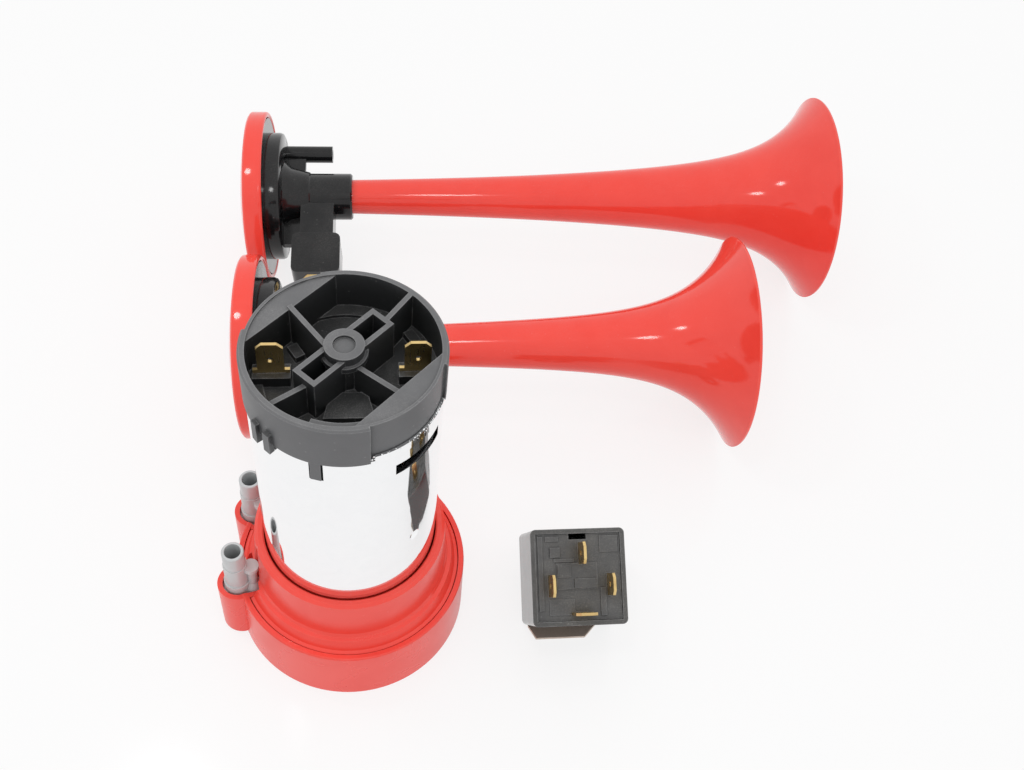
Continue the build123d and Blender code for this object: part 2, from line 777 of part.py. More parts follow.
# Both the cover's edge and the bell's edge touch the ground, so the trumpet tilts a little.
def horn_place(horn):
    rim = horn_radius(horn, 0)
    tilt = atan((rim - cover_radius) / (horn["length"] + cover_band))
    height = cover_radius * cos(tilt) + cover_band * sin(tilt)
    return Pos(heads_x, horn["y"], height) * Rot(0, 90 - degrees(tilt), 0)


# The flared trumpet, with a plug that goes into the head's socket.
def trumpet(horn):
    length = horn["length"]
    run = length - socket_end
    outer, inner = [], []
    for share in profile_steps:
        distance = share * run
        radius = horn_radius(horn, distance)
        outer.append((radius, length - distance))
        inner.append((radius - trumpet_wall, length - distance))
    plug_low = socket_end - socket_depth + seat_gap
    bore = horn_radius(horn, run) - trumpet_wall
    with BuildSketch(Plane.XZ) as section:
        with BuildLine():
            Line((throat_radius, plug_low), (plug_radius, plug_low))
            Line((plug_radius, plug_low), (plug_radius, socket_end))
            Line((plug_radius, socket_end), outer[0])
            Spline(outer)
            Line(outer[-1], inner[-1])
            Spline(list(reversed(inner)))
            Line((bore, socket_end), (throat_radius, plug_low))
        make_face()
    shape = revolve(section.sketch, Axis.Z)
    bead_radius = horn_radius(horn, 0) - rim_bead
    shape += Pos(0, 0, length - rim_bead) * Torus(bead_radius, rim_bead)
    return horn_place(horn) * shape


# The head: a flanged cup round the air chamber, the socket for the trumpet,
# the nipple for the hose and the mounting foot.
def head_body(horn):
    left = -clamp_depth + gasket_thickness + diaphragm_thickness
    tube = throat_radius + throat_wall
    stop = socket_end - socket_depth
    plug = plug_radius + seat_gap
    cone_in, cone_up = hub_cone_step
    body = turned([(chamber_radius, left), (body_flange_radius, left), (body_flange_radius, -body_flange_inset),
                   (body_radius, -body_flange_inset), (body_radius, body_depth - body_corner),
                   (body_radius - body_corner, body_depth), (hub_cone_radius, body_depth),
                   (hub_cone_radius - cone_in, body_depth + cone_up),
                   (socket_radius + socket_step, hub_cone_end), (socket_radius, hub_cone_end + socket_step),
                   (socket_radius, socket_end - socket_edge), (socket_radius - socket_edge, socket_end),
                   (plug, socket_end), (plug, stop), (throat_radius, stop), (throat_radius, left + throat_lift),
                   (tube, left + throat_lift), (tube, chamber_depth), (chamber_radius, chamber_depth)])
    root = body_depth - overlap
    collar_rise, collar_height = nipple_collar
    body += cylinder(nipple_radius, root, nipple_end, 0, nipple_offset)
    body += cylinder(nipple_radius + collar_rise, root, body_depth + collar_height, 0, nipple_offset)
    body += block(-web_width / 2, web_width / 2, socket_radius - overlap, nipple_offset - nipple_radius + overlap,
                  root, hub_cone_end - 2 * beyond)
    body -= cylinder(nipple_bore, chamber_depth - beyond, nipple_end + beyond, 0, nipple_offset)
    body += mounting_foot()
    body -= cylinder(plug, stop, socket_end + beyond)
    foot = Pos(0, -foot_reach, foot_middle)
    body -= foot * Rot(90, 0, 0) * nut_solid(seat_gap)
    body -= foot * Rot(-90, 0, 0) * cylinder(foot_bolt_radius, -beyond, foot_bolt_depth)
    return horn_place(horn) * body


# The bracket that bolts the horn to the car: a narrow neck and a wide pad.
def mounting_foot():
    pad_in = foot_reach - foot_pad_depth
    half = foot_width / 2
    pad = block(-half, half, -foot_reach, -pad_in, foot_pad[0], foot_pad[1])
    pad = fillet(pad.edges().filter_by(Axis.X), foot_corner)
    half -= foot_neck_inset
    neck = block(-half, half, -pad_in - overlap, -socket_radius + foot_corner, foot_neck[0], foot_neck[1])
    rib = block(-web_width / 2, web_width / 2, -body_radius + foot_corner, -socket_radius + overlap,
                body_depth - overlap, foot_neck[0] + overlap)
    return pad + neck + rib


# A hexagon that hangs down from height 0.
def nut_solid(clearance=0.0):
    plan = RegularPolygon(nut_across / 2 + clearance, 6, major_radius=False)
    return Pos(0, 0, -nut_height - clearance) * extrude(plan, nut_height + 2 * clearance)


def foot_nut(horn):
    nut = nut_solid() - cylinder(thread_radius, -nut_height - beyond, beyond)
    return horn_place(horn) * Pos(0, -foot_reach, foot_middle) * Rot(90, 0, 0) * nut


def diaphragm(horn):
    low = -clamp_depth + gasket_thickness
    return horn_place(horn) * cylinder(diaphragm_radius, low, low + diaphragm_thickness)


def head_gasket(horn):
    inner = diaphragm_radius - gasket_width
    return horn_place(horn) * ring(diaphragm_radius, inner, -clamp_depth, -clamp_depth + gasket_thickness)


# The domed cover that clamps the diaphragm against the head.
def head_cover(horn):
    skirt = body_flange_radius + 2 * seat_gap
    cavity = diaphragm_radius - gasket_width
    top = -cover_crown
    roof = top + cover_wall
    in_step, up_step = cover_shoulder
    cover = turned([(skirt, -cover_bevel), (skirt + cover_bevel, 0), (cover_radius - cover_bevel, 0),
                    (cover_radius, -cover_bevel), (cover_radius, -cover_band),
                    (cover_radius - in_step, -cover_band - up_step),
                    (cover_radius - cover_edge, top + 1.5 * cover_shoulder[1]),
                    (cover_radius * dome_share, top + cover_shoulder[0] / 2), (0, top), (0, roof),
                    (cavity - cover_wall, roof), (cavity, roof + cover_wall * 0.8),
                    (cavity, -clamp_depth), (skirt, -clamp_depth)])
    return horn_place(horn) * cover


# In the relay's own frame: middle in X, front face at y = 0, closed end at z = 0.
def relay_place():
    return Pos(relay_x, relay_y, 0) * Rot(relay_tilt, 0, 0)


# The relay's housing, open at the blades' end, with the mounting ear at its back.
def relay_cover():
    half = relay_width / 2
    inner = half - relay_wall
    shell = block(-half, half, 0, relay_depth, 0, relay_height)
    shell = fillet(shell.edges().filter_by(Axis.Z), relay_corner)
    shell -= block(-inner, inner, relay_wall, relay_depth - relay_wall, relay_wall, relay_height + beyond)
    front = relay_depth - ear_thickness
    tip = -ear_length + ear_width / 2
    eye = Pos(0, front, tip) * Rot(-90, 0, 0)
    ear = block(-ear_width / 2, ear_width / 2, front, relay_depth, tip, ear_root)
    ear += eye * cylinder(ear_width / 2, 0, ear_thickness)
    ear -= eye * cylinder(ear_hole_radius, -beyond, ear_thickness + beyond)
    return relay_place() * (shell + ear)


# The base plate that the blades stand in, with its notch and raised field.
def relay_base():
    half = relay_width / 2 - relay_wall - seat_gap
    high = relay_height - relay_base_inset
    low = high - relay_base_thickness
    near, far = relay_wall + seat_gap, relay_depth - relay_wall - seat_gap
    notch_width, notch_depth = relay_notch
    left, right, front, back = relay_raised
    middle = relay_depth / 2
    plate = block(-half, half, near, far, low, high)
    plate -= block(-notch_width / 2, notch_width / 2, far - notch_depth, far + beyond, low - beyond, high + beyond)
    plate += block(left, right, middle + front, middle + back, low, high + relay_raised_height)
    for name, x, y, turn in relay_pins:
        plate -= pin_place(x, y, turn) * Box(blade_width + 2 * pin_gap, blade_thickness + 2 * pin_gap,
                                             4 * relay_base_thickness)
    return relay_place() * plate


def pin_place(x, y, turn):
    return Pos(x, relay_depth / 2 + y, relay_height - relay_base_inset) * Rot(0, 0, turn)


def relay_blade(x, y, turn):
    return relay_place() * pin_place(x, y, turn) * blade(relay_blade_rise, relay_base_thickness + relay_blade_tail)


def relay_coil():
    flange, rise = coil_flange
    wire = coil_radius - rise
    bobbin = turned([(0, coil_low), (coil_radius, coil_low), (coil_radius, coil_low + flange),
                     (wire, coil_low + flange), (wire, coil_high - flange),
                     (coil_radius, coil_high - flange), (coil_radius, coil_high), (0, coil_high)])
    return relay_place() * Pos(0, coil_y, 0) * bobbin


def relay_yoke():
    half = yoke_width / 2
    back = yoke_y + yoke_thickness
    top = coil_high + yoke_thickness
    upright = block(-half, half, yoke_y, back, armature_low_z + armature_plate + running_gap, top)
    shelf = block(-half, half, coil_y - coil_radius, back, coil_high, top)
    return relay_place() * (upright + shelf)


def relay_armature():
    half = yoke_width / 2
    plate = block(-half, half, coil_y - coil_radius - overlap, yoke_y + yoke_thickness,
                  armature_low_z, armature_low_z + armature_plate)
    return relay_place() * plate


os.makedirs("parts", exist_ok=True)

save("motor_can", motor_can())
save("end_cap", end_cap())
save("terminal_positive", terminal(1))
save("terminal_negative", terminal(-1))
save("magnet_right", magnet(0))
save("magnet_left", magnet(180))
save("armature_core", armature_core())
save("armature_winding", armature_winding())
save("commutator", commutator())
save("motor_shaft", motor_shaft())
save("upper_bush", bush(upper_bush_radius, upper_bush_low, upper_bush_length))
save("lower_bush", bush(lower_bush_radius, lower_bush_low, lower_bush_length))
for side, angle in (("right", 0), ("left", 180)):
    save("brush_holder_" + side, brush_holder(angle))
    save("brush_" + side, brush(angle))
    save("brush_spring_" + side, brush_spring(angle))
save("pump_base", pump_base())
save("pump_cover", pump_cover())
save("pump_ring", pump_ring())
save("pump_lower_plate", pump_plate(lower_plate_z))
save("pump_upper_plate", pump_plate(pump_high))
save("pump_rotor", pump_rotor())
save("pump_vanes", pump_vanes())
save("base_screws", screws(base_screw_circle, base_screw_angles, screw_head_sink,
                           web_low + screw_bite - running_gap))
save("motor_screws", screws(motor_screw_circle, motor_screw_angles, web_low + seat_gap,
                            can_low + motor_screw_bite))
save("mounting_insert", mounting_insert())
save("outlet_nozzle", nozzle(outlet_angle))
save("inlet_nozzle", nozzle(inlet_angle))
for horn in (long_horn, short_horn):
    prefix = horn["name"] + "_"
    save(prefix + "trumpet", trumpet(horn))
    save(prefix + "head_body", head_body(horn))
    save(prefix + "foot_nut", foot_nut(horn))
    save(prefix + "diaphragm", diaphragm(horn))
    save(prefix + "gasket", head_gasket(horn))
    save(prefix + "head_cover", head_cover(horn))
save("relay_cover", relay_cover())
save("relay_base", relay_base())
for name, x, y, turn in relay_pins:
    save("relay_blade_" + name, relay_blade(x, y, turn))
save("relay_coil", relay_coil())
save("relay_yoke", relay_yoke())
save("relay_armature", relay_armature())
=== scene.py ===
import bmesh
import bpy
import json
import math
from mathutils import Matrix, Vector


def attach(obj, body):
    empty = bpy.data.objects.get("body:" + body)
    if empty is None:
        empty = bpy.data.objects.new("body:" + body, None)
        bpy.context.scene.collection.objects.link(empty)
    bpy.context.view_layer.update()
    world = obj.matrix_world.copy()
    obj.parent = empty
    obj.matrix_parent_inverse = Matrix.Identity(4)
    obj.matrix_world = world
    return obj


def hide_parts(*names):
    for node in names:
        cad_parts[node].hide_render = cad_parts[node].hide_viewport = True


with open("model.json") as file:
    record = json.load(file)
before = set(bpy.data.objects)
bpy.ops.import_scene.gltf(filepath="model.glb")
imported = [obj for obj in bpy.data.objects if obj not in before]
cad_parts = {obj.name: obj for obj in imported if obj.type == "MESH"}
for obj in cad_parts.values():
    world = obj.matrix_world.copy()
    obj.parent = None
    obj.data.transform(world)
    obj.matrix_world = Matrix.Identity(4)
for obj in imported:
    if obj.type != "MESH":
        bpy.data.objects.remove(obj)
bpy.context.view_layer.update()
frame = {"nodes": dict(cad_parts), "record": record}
nodes = frame["nodes"]
mm = 0.001
overlap = 0.5            # how far joined forms of one piece run into each other
beyond = 1.0             # how far a cut runs past the surface it opens


# Trees for materials and geometry are wired with these.
def addNode(tree, kind, inputs=None, **settings):
    made = tree.nodes.new(kind)
    for key, value in settings.items():
        setattr(made, key, value)
    for key, value in (inputs or {}).items():
        if isinstance(value, bpy.types.NodeSocket):
            tree.links.new(value, made.inputs[key])
        else:
            made.inputs[key].default_value = value
    return made


def calc(tree, operation, *values, clamp=False):
    made = addNode(tree, "ShaderNodeMath", dict(enumerate(values)), operation=operation, use_clamp=clamp)
    return made.outputs[0]


def joined(tree, x=0.0, y=0.0, z=0.0):
    return addNode(tree, "ShaderNodeCombineXYZ", {0: x, 1: y, 2: z}).outputs[0]


def blendValue(tree, factor, low, high):
    return addNode(tree, "ShaderNodeMix", {0: factor, 2: low, 3: high}, data_type="FLOAT").outputs[0]


# Each end is a socket or a plain (red, green, blue)
def blendColour(tree, factor, low, high):
    low, high = (end if isinstance(end, bpy.types.NodeSocket) else (*end, 1) for end in (low, high))
    return addNode(tree, "ShaderNodeMix", {0: factor, 6: low, 7: high}, data_type="RGBA").outputs[2]


def noise(tree, place, scale, detail=2.0, roughness=0.5, distortion=0.0):
    made = addNode(tree, "ShaderNodeTexNoise", {"Vector": place, "Scale": scale, "Detail": detail,
                                                "Roughness": roughness, "Distortion": distortion})
    return made.outputs["Fac"]


def spread(tree, value, low, high, start=0.0, end=1.0):
    made = addNode(tree, "ShaderNodeMapRange", {"Value": value, "From Min": low, "From Max": high,
                                                "To Min": start, "To Max": end}, clamp=True)
    return made.outputs["Result"]


def newGroup(name, inputs, outputs, kind="ShaderNodeTree"):
    group = bpy.data.node_groups.new(name, kind)
    for label, socketKind, value in inputs:
        socket = group.interface.new_socket(label, in_out="INPUT", socket_type="NodeSocket" + socketKind)
        if value is not None:
            socket.default_value = value
    for label, socketKind in outputs:
        group.interface.new_socket(label, in_out="OUTPUT", socket_type="NodeSocket" + socketKind)
    entry = group.nodes.new("NodeGroupInput").outputs
    leave = group.nodes.new("NodeGroupOutput").inputs
    return group, entry, leave


def placeGroup(tree, group, **values):
    made = tree.nodes.new("ShaderNodeGroup")
    made.node_tree = group
    for label, value in values.items():
        made.inputs[label].default_value = value
    return made.outputs


# Every geometry tree ends in real meshes with their finish
def endGroup(group, geometry, entry, leave):
    real = addNode(group, "GeometryNodeRealizeInstances", {0: geometry}).outputs[0]
    finished = addNode(group, "GeometryNodeSetMaterial", {"Geometry": real, "Material": entry["Finish"]})
    group.links.new(finished.outputs[0], leave["Geometry"])
    return group


# Runs a geometry tree on an empty object and keeps the result as a plain mesh
def bakeTree(name, group, values):
    piece = bpy.data.objects.new(name, bpy.data.meshes.new(name + "Start"))
    bpy.context.scene.collection.objects.link(piece)
    modifier = piece.modifiers.new("build", "NODES")
    modifier.node_group = group
    for item in group.interface.items_tree:
        if item.item_type == "SOCKET" and item.in_out == "INPUT" and item.name in values:
            modifier[item.identifier] = values[item.name]
    graph = bpy.context.evaluated_depsgraph_get()
    result = bpy.data.meshes.new_from_object(piece.evaluated_get(graph))
    piece.modifiers.clear()
    piece.data = result
    result.name = name
    return piece


viewpoint = {
    "place": (0.004277, -0.1750, 0.33124),
    "yaw": 11.74,        # degrees to the right
    "pitch": 51.935,     # degrees down
    "roll": 8.395,
    "lens": 41.31,
}


def makeCamera(spec):
    yaw, pitch, roll = (math.radians(spec[key]) for key in ("yaw", "pitch", "roll"))
    ahead = Vector((math.sin(yaw) * math.cos(pitch), math.cos(yaw) * math.cos(pitch), -math.sin(pitch)))
    level = Vector((math.cos(yaw), -math.sin(yaw), 0))
    over = level.cross(ahead)
    right = level * math.cos(roll) + over * math.sin(roll)
    up = over * math.cos(roll) - level * math.sin(roll)
    camera = bpy.data.objects.new("camera", bpy.data.cameras.new("camera"))
    camera.data.lens = spec["lens"]
    camera.data.clip_start = 0.01
    bpy.context.scene.collection.objects.link(camera)
    turned = Matrix((right, up, -ahead)).transposed().to_4x4()
    camera.matrix_world = Matrix.Translation(spec["place"]) @ turned
    bpy.context.scene.camera = camera


makeCamera(viewpoint)
bpy.context.scene.view_settings.view_transform = "Standard"

studio = {
    "skyDiffuse": 0.86,
    "lamps": (("lampFront", (0.005, -0.045, 0.300), 0.040, 0.060),
              ("lampLeft", (-0.110, 0.060, 0.360), 0.044, 0.095)),   # name, place, width, watts
    "aim": (0.05, 0.05, 0.02),
    "floorSide": 4.0,
    "floorColour": (0.93, 0.93, 0.935, 1),
    "floorRoughness": 0.16,
    "floorLift": 0.80,       # how much of the floor is plain white to the camera
}


# 1 for rays that should meet a white room: from the camera, and off or through gloss and glass
def seenMask(tree):
    path = tree.nodes.new("ShaderNodeLightPath").outputs
    either = calc(tree, "MAXIMUM", path["Is Camera Ray"], path["Is Glossy Ray"])
    return calc(tree, "MAXIMUM", either, path["Is Transmission Ray"])


def makeStudio(spec):
    world = bpy.data.worlds.new("studioWorld")
    bpy.context.scene.world = world
    world.use_nodes = True
    tree = world.node_tree
    background = tree.nodes["Background"]
    background.inputs["Color"].default_value = (1, 1, 1, 1)
    strength = blendValue(tree, seenMask(tree), spec["skyDiffuse"], 1.0)
    tree.links.new(strength, background.inputs["Strength"])
    for name, place, width, watts in spec["lamps"]:
        lamp = bpy.data.lights.new(name, "AREA")
        lamp.shape = "DISK"
        lamp.size = width
        lamp.energy = watts
        holder = bpy.data.objects.new(name, lamp)
        bpy.context.scene.collection.objects.link(holder)
        holder.location = place
        holder.rotation_mode = "QUATERNION"
        holder.rotation_quaternion = (Vector(spec["aim"]) - Vector(place)).to_track_quat("-Z", "Y")
        holder.visible_camera = False
    half = spec["floorSide"] / 2
    mesh = bpy.data.meshes.new("floor")
    corners = [(-half, -half, 0), (half, -half, 0), (half, half, 0), (-half, half, 0)]
    mesh.from_pydata(corners, [], [(0, 1, 2, 3)])
    floor = bpy.data.objects.new("floor", mesh)
    bpy.context.scene.collection.objects.link(floor)
    material = bpy.data.materials.new("floorGloss")
    material.use_nodes = True
    tree = material.node_tree
    shader = tree.nodes["Principled BSDF"]
    shader.inputs["Base Color"].default_value = spec["floorColour"]
    shader.inputs["Roughness"].default_value = spec["floorRoughness"]
    glow = addNode(tree, "ShaderNodeEmission", {"Color": (1, 1, 1, 1), "Strength": 1.0})
    factor = calc(tree, "MULTIPLY", seenMask(tree), spec["floorLift"])
    mixed = addNode(tree, "ShaderNodeMixShader", {0: factor, 1: shader.outputs[0], 2: glow.outputs[0]})
    tree.links.new(mixed.outputs[0], tree.nodes["Material Output"].inputs["Surface"])
    mesh.materials.append(material)


makeStudio(studio)
print("studio: camera, floor and", len(studio["lamps"]), "lamps")


# Fine grain, slow mottling and rare specks, the skin of a moulded part
def mouldSkinGroup():
    group, entry, leave = newGroup("mouldSkin", (
        ("Grain Scale", "Float", 2500.0), ("Flow Scale", "Float", 90.0), ("Speck Scale", "Float", 900.0)),
        (("Grain", "Float"), ("Flow", "Float"), ("Speck", "Float")))
    place = group.nodes.new("ShaderNodeTexCoord").outputs["Object"]
    grain = noise(group, place, entry["Grain Scale"], 3.0, 0.6)
    flow = spread(group, noise(group, place, entry["Flow Scale"], 4.0, 0.55, 0.6), 0.3, 0.7)
    cells = addNode(group, "ShaderNodeTexVoronoi", {"Vector": place, "Scale": entry["Speck Scale"]})
    chance = addNode(group, "ShaderNodeSeparateColor", {0: cells.outputs["Color"]}).outputs[0]
    rare = spread(group, chance, 0.93, 0.94)
    near = spread(group, cells.outputs["Distance"], 0.12, 0.3, 1.0, 0.0)
    group.links.new(grain, leave["Grain"])
    group.links.new(flow, leave["Flow"])
    group.links.new(calc(group, "MULTIPLY", rare, near), leave["Speck"])
    return group


# Where a sharp edge has been rubbed
def edgeWearGroup():
    group, entry, leave = newGroup("edgeWear", (
        ("Radius", "Float", 0.0005), ("Patch Scale", "Float", 260.0)), (("Wear", "Float"),))
    place = group.nodes.new("ShaderNodeTexCoord").outputs["Object"]
    soft = addNode(group, "ShaderNodeBevel", {"Radius": entry["Radius"]}, samples=4).outputs[0]
    plain = group.nodes.new("ShaderNodeNewGeometry").outputs["Normal"]
    along = addNode(group, "ShaderNodeVectorMath", {0: soft, 1: plain}, operation="DOT_PRODUCT")
    edge = spread(group, along.outputs["Value"], 0.995, 0.85)
    patch = spread(group, noise(group, place, entry["Patch Scale"], 3.0, 0.6), 0.35, 0.62, 0.25, 1.0)
    group.links.new(calc(group, "MULTIPLY", edge, patch), leave["Wear"])
    return group


# Thin dust on what faces up
def settledDustGroup():
    group, entry, leave = newGroup("settledDust", (("Patch Scale", "Float", 60.0),), (("Dust", "Float"),))
    place = group.nodes.new("ShaderNodeTexCoord").outputs["Object"]
    normal = group.nodes.new("ShaderNodeNewGeometry").outputs["Normal"]
    upward = addNode(group, "ShaderNodeSeparateXYZ", {0: normal}).outputs["Z"]
    patch = spread(group, noise(group, place, entry["Patch Scale"], 5.0, 0.65), 0.35, 0.75)
    fine = spread(group, noise(group, place, 3200.0, 2.0), 0.45, 0.7)
    cover = calc(group, "MULTIPLY", spread(group, upward, 0.2, 0.9), patch)
    group.links.new(calc(group, "MULTIPLY", cover, calc(group, "ADD", fine, 0.35), clamp=True), leave["Dust"])
    return group


# Painted shade: how shut in a place is, from ambient occlusion, 0 deep in a recess, 1 on an outer face;
# recesses are painted darker with it
def paintedShadeGroup():
    group, entry, leave = newGroup("paintedShade", (("Reach", "Float", 0.012),), (("Unshaded", "Float"),))
    near = addNode(group, "ShaderNodeAmbientOcclusion", {"Distance": entry["Reach"]}, samples=8).outputs["AO"]
    group.links.new(spread(group, near, 0.42, 0.92), leave["Unshaded"])
    return group


# Drawn or turned metal: streaks along one axis, stains and a few fine scratches
def metalGrainGroup():
    group, entry, leave = newGroup("metalGrain", (
        ("Stretch", "Vector", (1.0, 1.0, 0.05)), ("Streak Scale", "Float", 1500.0),
        ("Stain Scale", "Float", 120.0)),
        (("Streak", "Float"), ("Stain", "Float"), ("Scratch", "Float")))
    place = group.nodes.new("ShaderNodeTexCoord").outputs["Object"]
    drawn = addNode(group, "ShaderNodeVectorMath", {0: place, 1: entry["Stretch"]}, operation="MULTIPLY")
    streak = noise(group, drawn.outputs[0], entry["Streak Scale"], 3.0, 0.6)
    stain = spread(group, noise(group, place, entry["Stain Scale"], 6.0, 0.62, 1.2), 0.46, 0.74)
    turned = addNode(group, "ShaderNodeMapping", {"Vector": place, "Rotation": (0.6, 0.9, 0.4),
                                                  "Scale": (30.0, 900.0, 900.0)}).outputs[0]
    scratch = spread(group, noise(group, turned, 1.0, 1.0, 0.4, 0.3), 0.72, 0.78)
    group.links.new(streak, leave["Streak"])
    group.links.new(stain, leave["Stain"])
    group.links.new(scratch, leave["Scratch"])
    return group


mouldSkin = mouldSkinGroup()
edgeWear = edgeWearGroup()
settledDust = settledDustGroup()
paintedShade = paintedShadeGroup()
metalGrain = metalGrainGroup()

dustColour = (0.62, 0.60, 0.57)
speckColour = (0.8, 0.79, 0.77)


def startMaterial(name):
    material = bpy.data.materials.new(name)
    material.use_nodes = True
    return material, material.node_tree, material.node_tree.nodes["Principled BSDF"]


def addBump(tree, shader, *layers):
    height = 0.0
    for value, share in layers:      # share in millimetres
        part = calc(tree, "MULTIPLY", value, share)
        height = calc(tree, "ADD", height, part)
    bump = addNode(tree, "ShaderNodeBump", {"Strength": 1.0, "Distance": mm, "Height": height})
    tree.links.new(bump.outputs[0], shader.inputs["Normal"])


def plastic(name, spec):
    material, tree, shader = startMaterial(name)
    skin = placeGroup(tree, mouldSkin, **{"Grain Scale": spec["grainScale"], "Flow Scale": spec["flowScale"]})
    wear = placeGroup(tree, edgeWear)["Wear"]
    dust = placeGroup(tree, settledDust)["Dust"]
    wear = calc(tree, "MULTIPLY", wear, spec["wear"])
    dust = calc(tree, "MULTIPLY", dust, spec["dust"])
    colour = blendColour(tree, skin["Flow"], spec["colour"], spec["mottle"])
    # Painted shade: a darker colour blended into recesses by ambient occlusion, standing in for the shade
    # there
    if "recessShadeColour" in spec:
        unshadedShare = placeGroup(tree, paintedShade, **{"Reach": spec["recessShadeReach"]})["Unshaded"]
        colour = blendColour(tree, unshadedShare, spec["recessShadeColour"], colour)
    colour = blendColour(tree, wear, colour, spec["wornColour"])
    colour = blendColour(tree, dust, colour, dustColour)
    speck = calc(tree, "MULTIPLY", skin["Speck"], spec["speck"])
    colour = blendColour(tree, speck, colour, speckColour)
    rough = blendValue(tree, skin["Flow"], spec["roughness"][0], spec["roughness"][1])
    rough = calc(tree, "ADD", rough, calc(tree, "MULTIPLY", dust, 0.5), clamp=True)
    tree.links.new(colour, shader.inputs["Base Color"])
    tree.links.new(rough, shader.inputs["Roughness"])
    shader.inputs["IOR"].default_value = spec.get("ior", 1.5)
    addBump(tree, shader, (skin["Grain"], spec["grainHeight"]), (skin["Flow"], spec["flowHeight"]))
    return material


def metal(name, spec):
    material, tree, shader = startMaterial(name)
    grain = placeGroup(tree, metalGrain, **{"Stretch": spec.get("stretch", (1.0, 1.0, 0.05)),
                                            "Streak Scale": spec.get("streakScale", 1500.0)})
    stain = calc(tree, "MULTIPLY", grain["Stain"], spec["stain"])
    colour = blendColour(tree, grain["Streak"], spec["colour"], spec["streakColour"])
    colour = blendColour(tree, stain, colour, spec["stainColour"])
    rough = blendValue(tree, grain["Streak"], spec["roughness"][0], spec["roughness"][1])
    rough = calc(tree, "ADD", rough, calc(tree, "MULTIPLY", stain, 0.25), clamp=True)
    tree.links.new(colour, shader.inputs["Base Color"])
    tree.links.new(rough, shader.inputs["Roughness"])
    shader.inputs["Metallic"].default_value = 1.0
    addBump(tree, shader, (grain["Streak"], spec["streakHeight"]), (grain["Scratch"], -spec["scratchDepth"]))
    return material


redPlastic = {
    "colour": (0.98, 0.076, 0.054), "mottle": (0.94, 0.062, 0.043), "wornColour": (0.97, 0.18, 0.13),
    "roughness": (0.08, 0.11), "ior": 1.45, "grainScale": 900.0, "grainHeight": 0.0012,
    "flowScale": 60.0, "flowHeight": 0.003, "wear": 0.4, "dust": 0.04, "speck": 0.03,
}
blackPlastic = {
    "colour": (0.058, 0.059, 0.062), "mottle": (0.072, 0.073, 0.077), "wornColour": (0.26, 0.26, 0.265),
    "roughness": (0.40, 0.52), "grainScale": 2600.0, "grainHeight": 0.020, "flowScale": 110.0,
    "flowHeight": 0.01, "wear": 0.85, "dust": 0.18, "speck": 0.08,
}
steel = {
    "colour": (0.58, 0.585, 0.59), "streakColour": (0.50, 0.505, 0.51), "stain": 0.25,
    "stainColour": (0.34, 0.31, 0.28), "roughness": (0.22, 0.38),
    "streakHeight": 0.004, "scratchDepth": 0.004,
}
brass = {
    "colour": (0.80, 0.60, 0.27), "streakColour": (0.74, 0.54, 0.23), "stain": 0.45,
    "stainColour": (0.46, 0.30, 0.13), "roughness": (0.22, 0.34),
    "streakHeight": 0.003, "scratchDepth": 0.004,
}

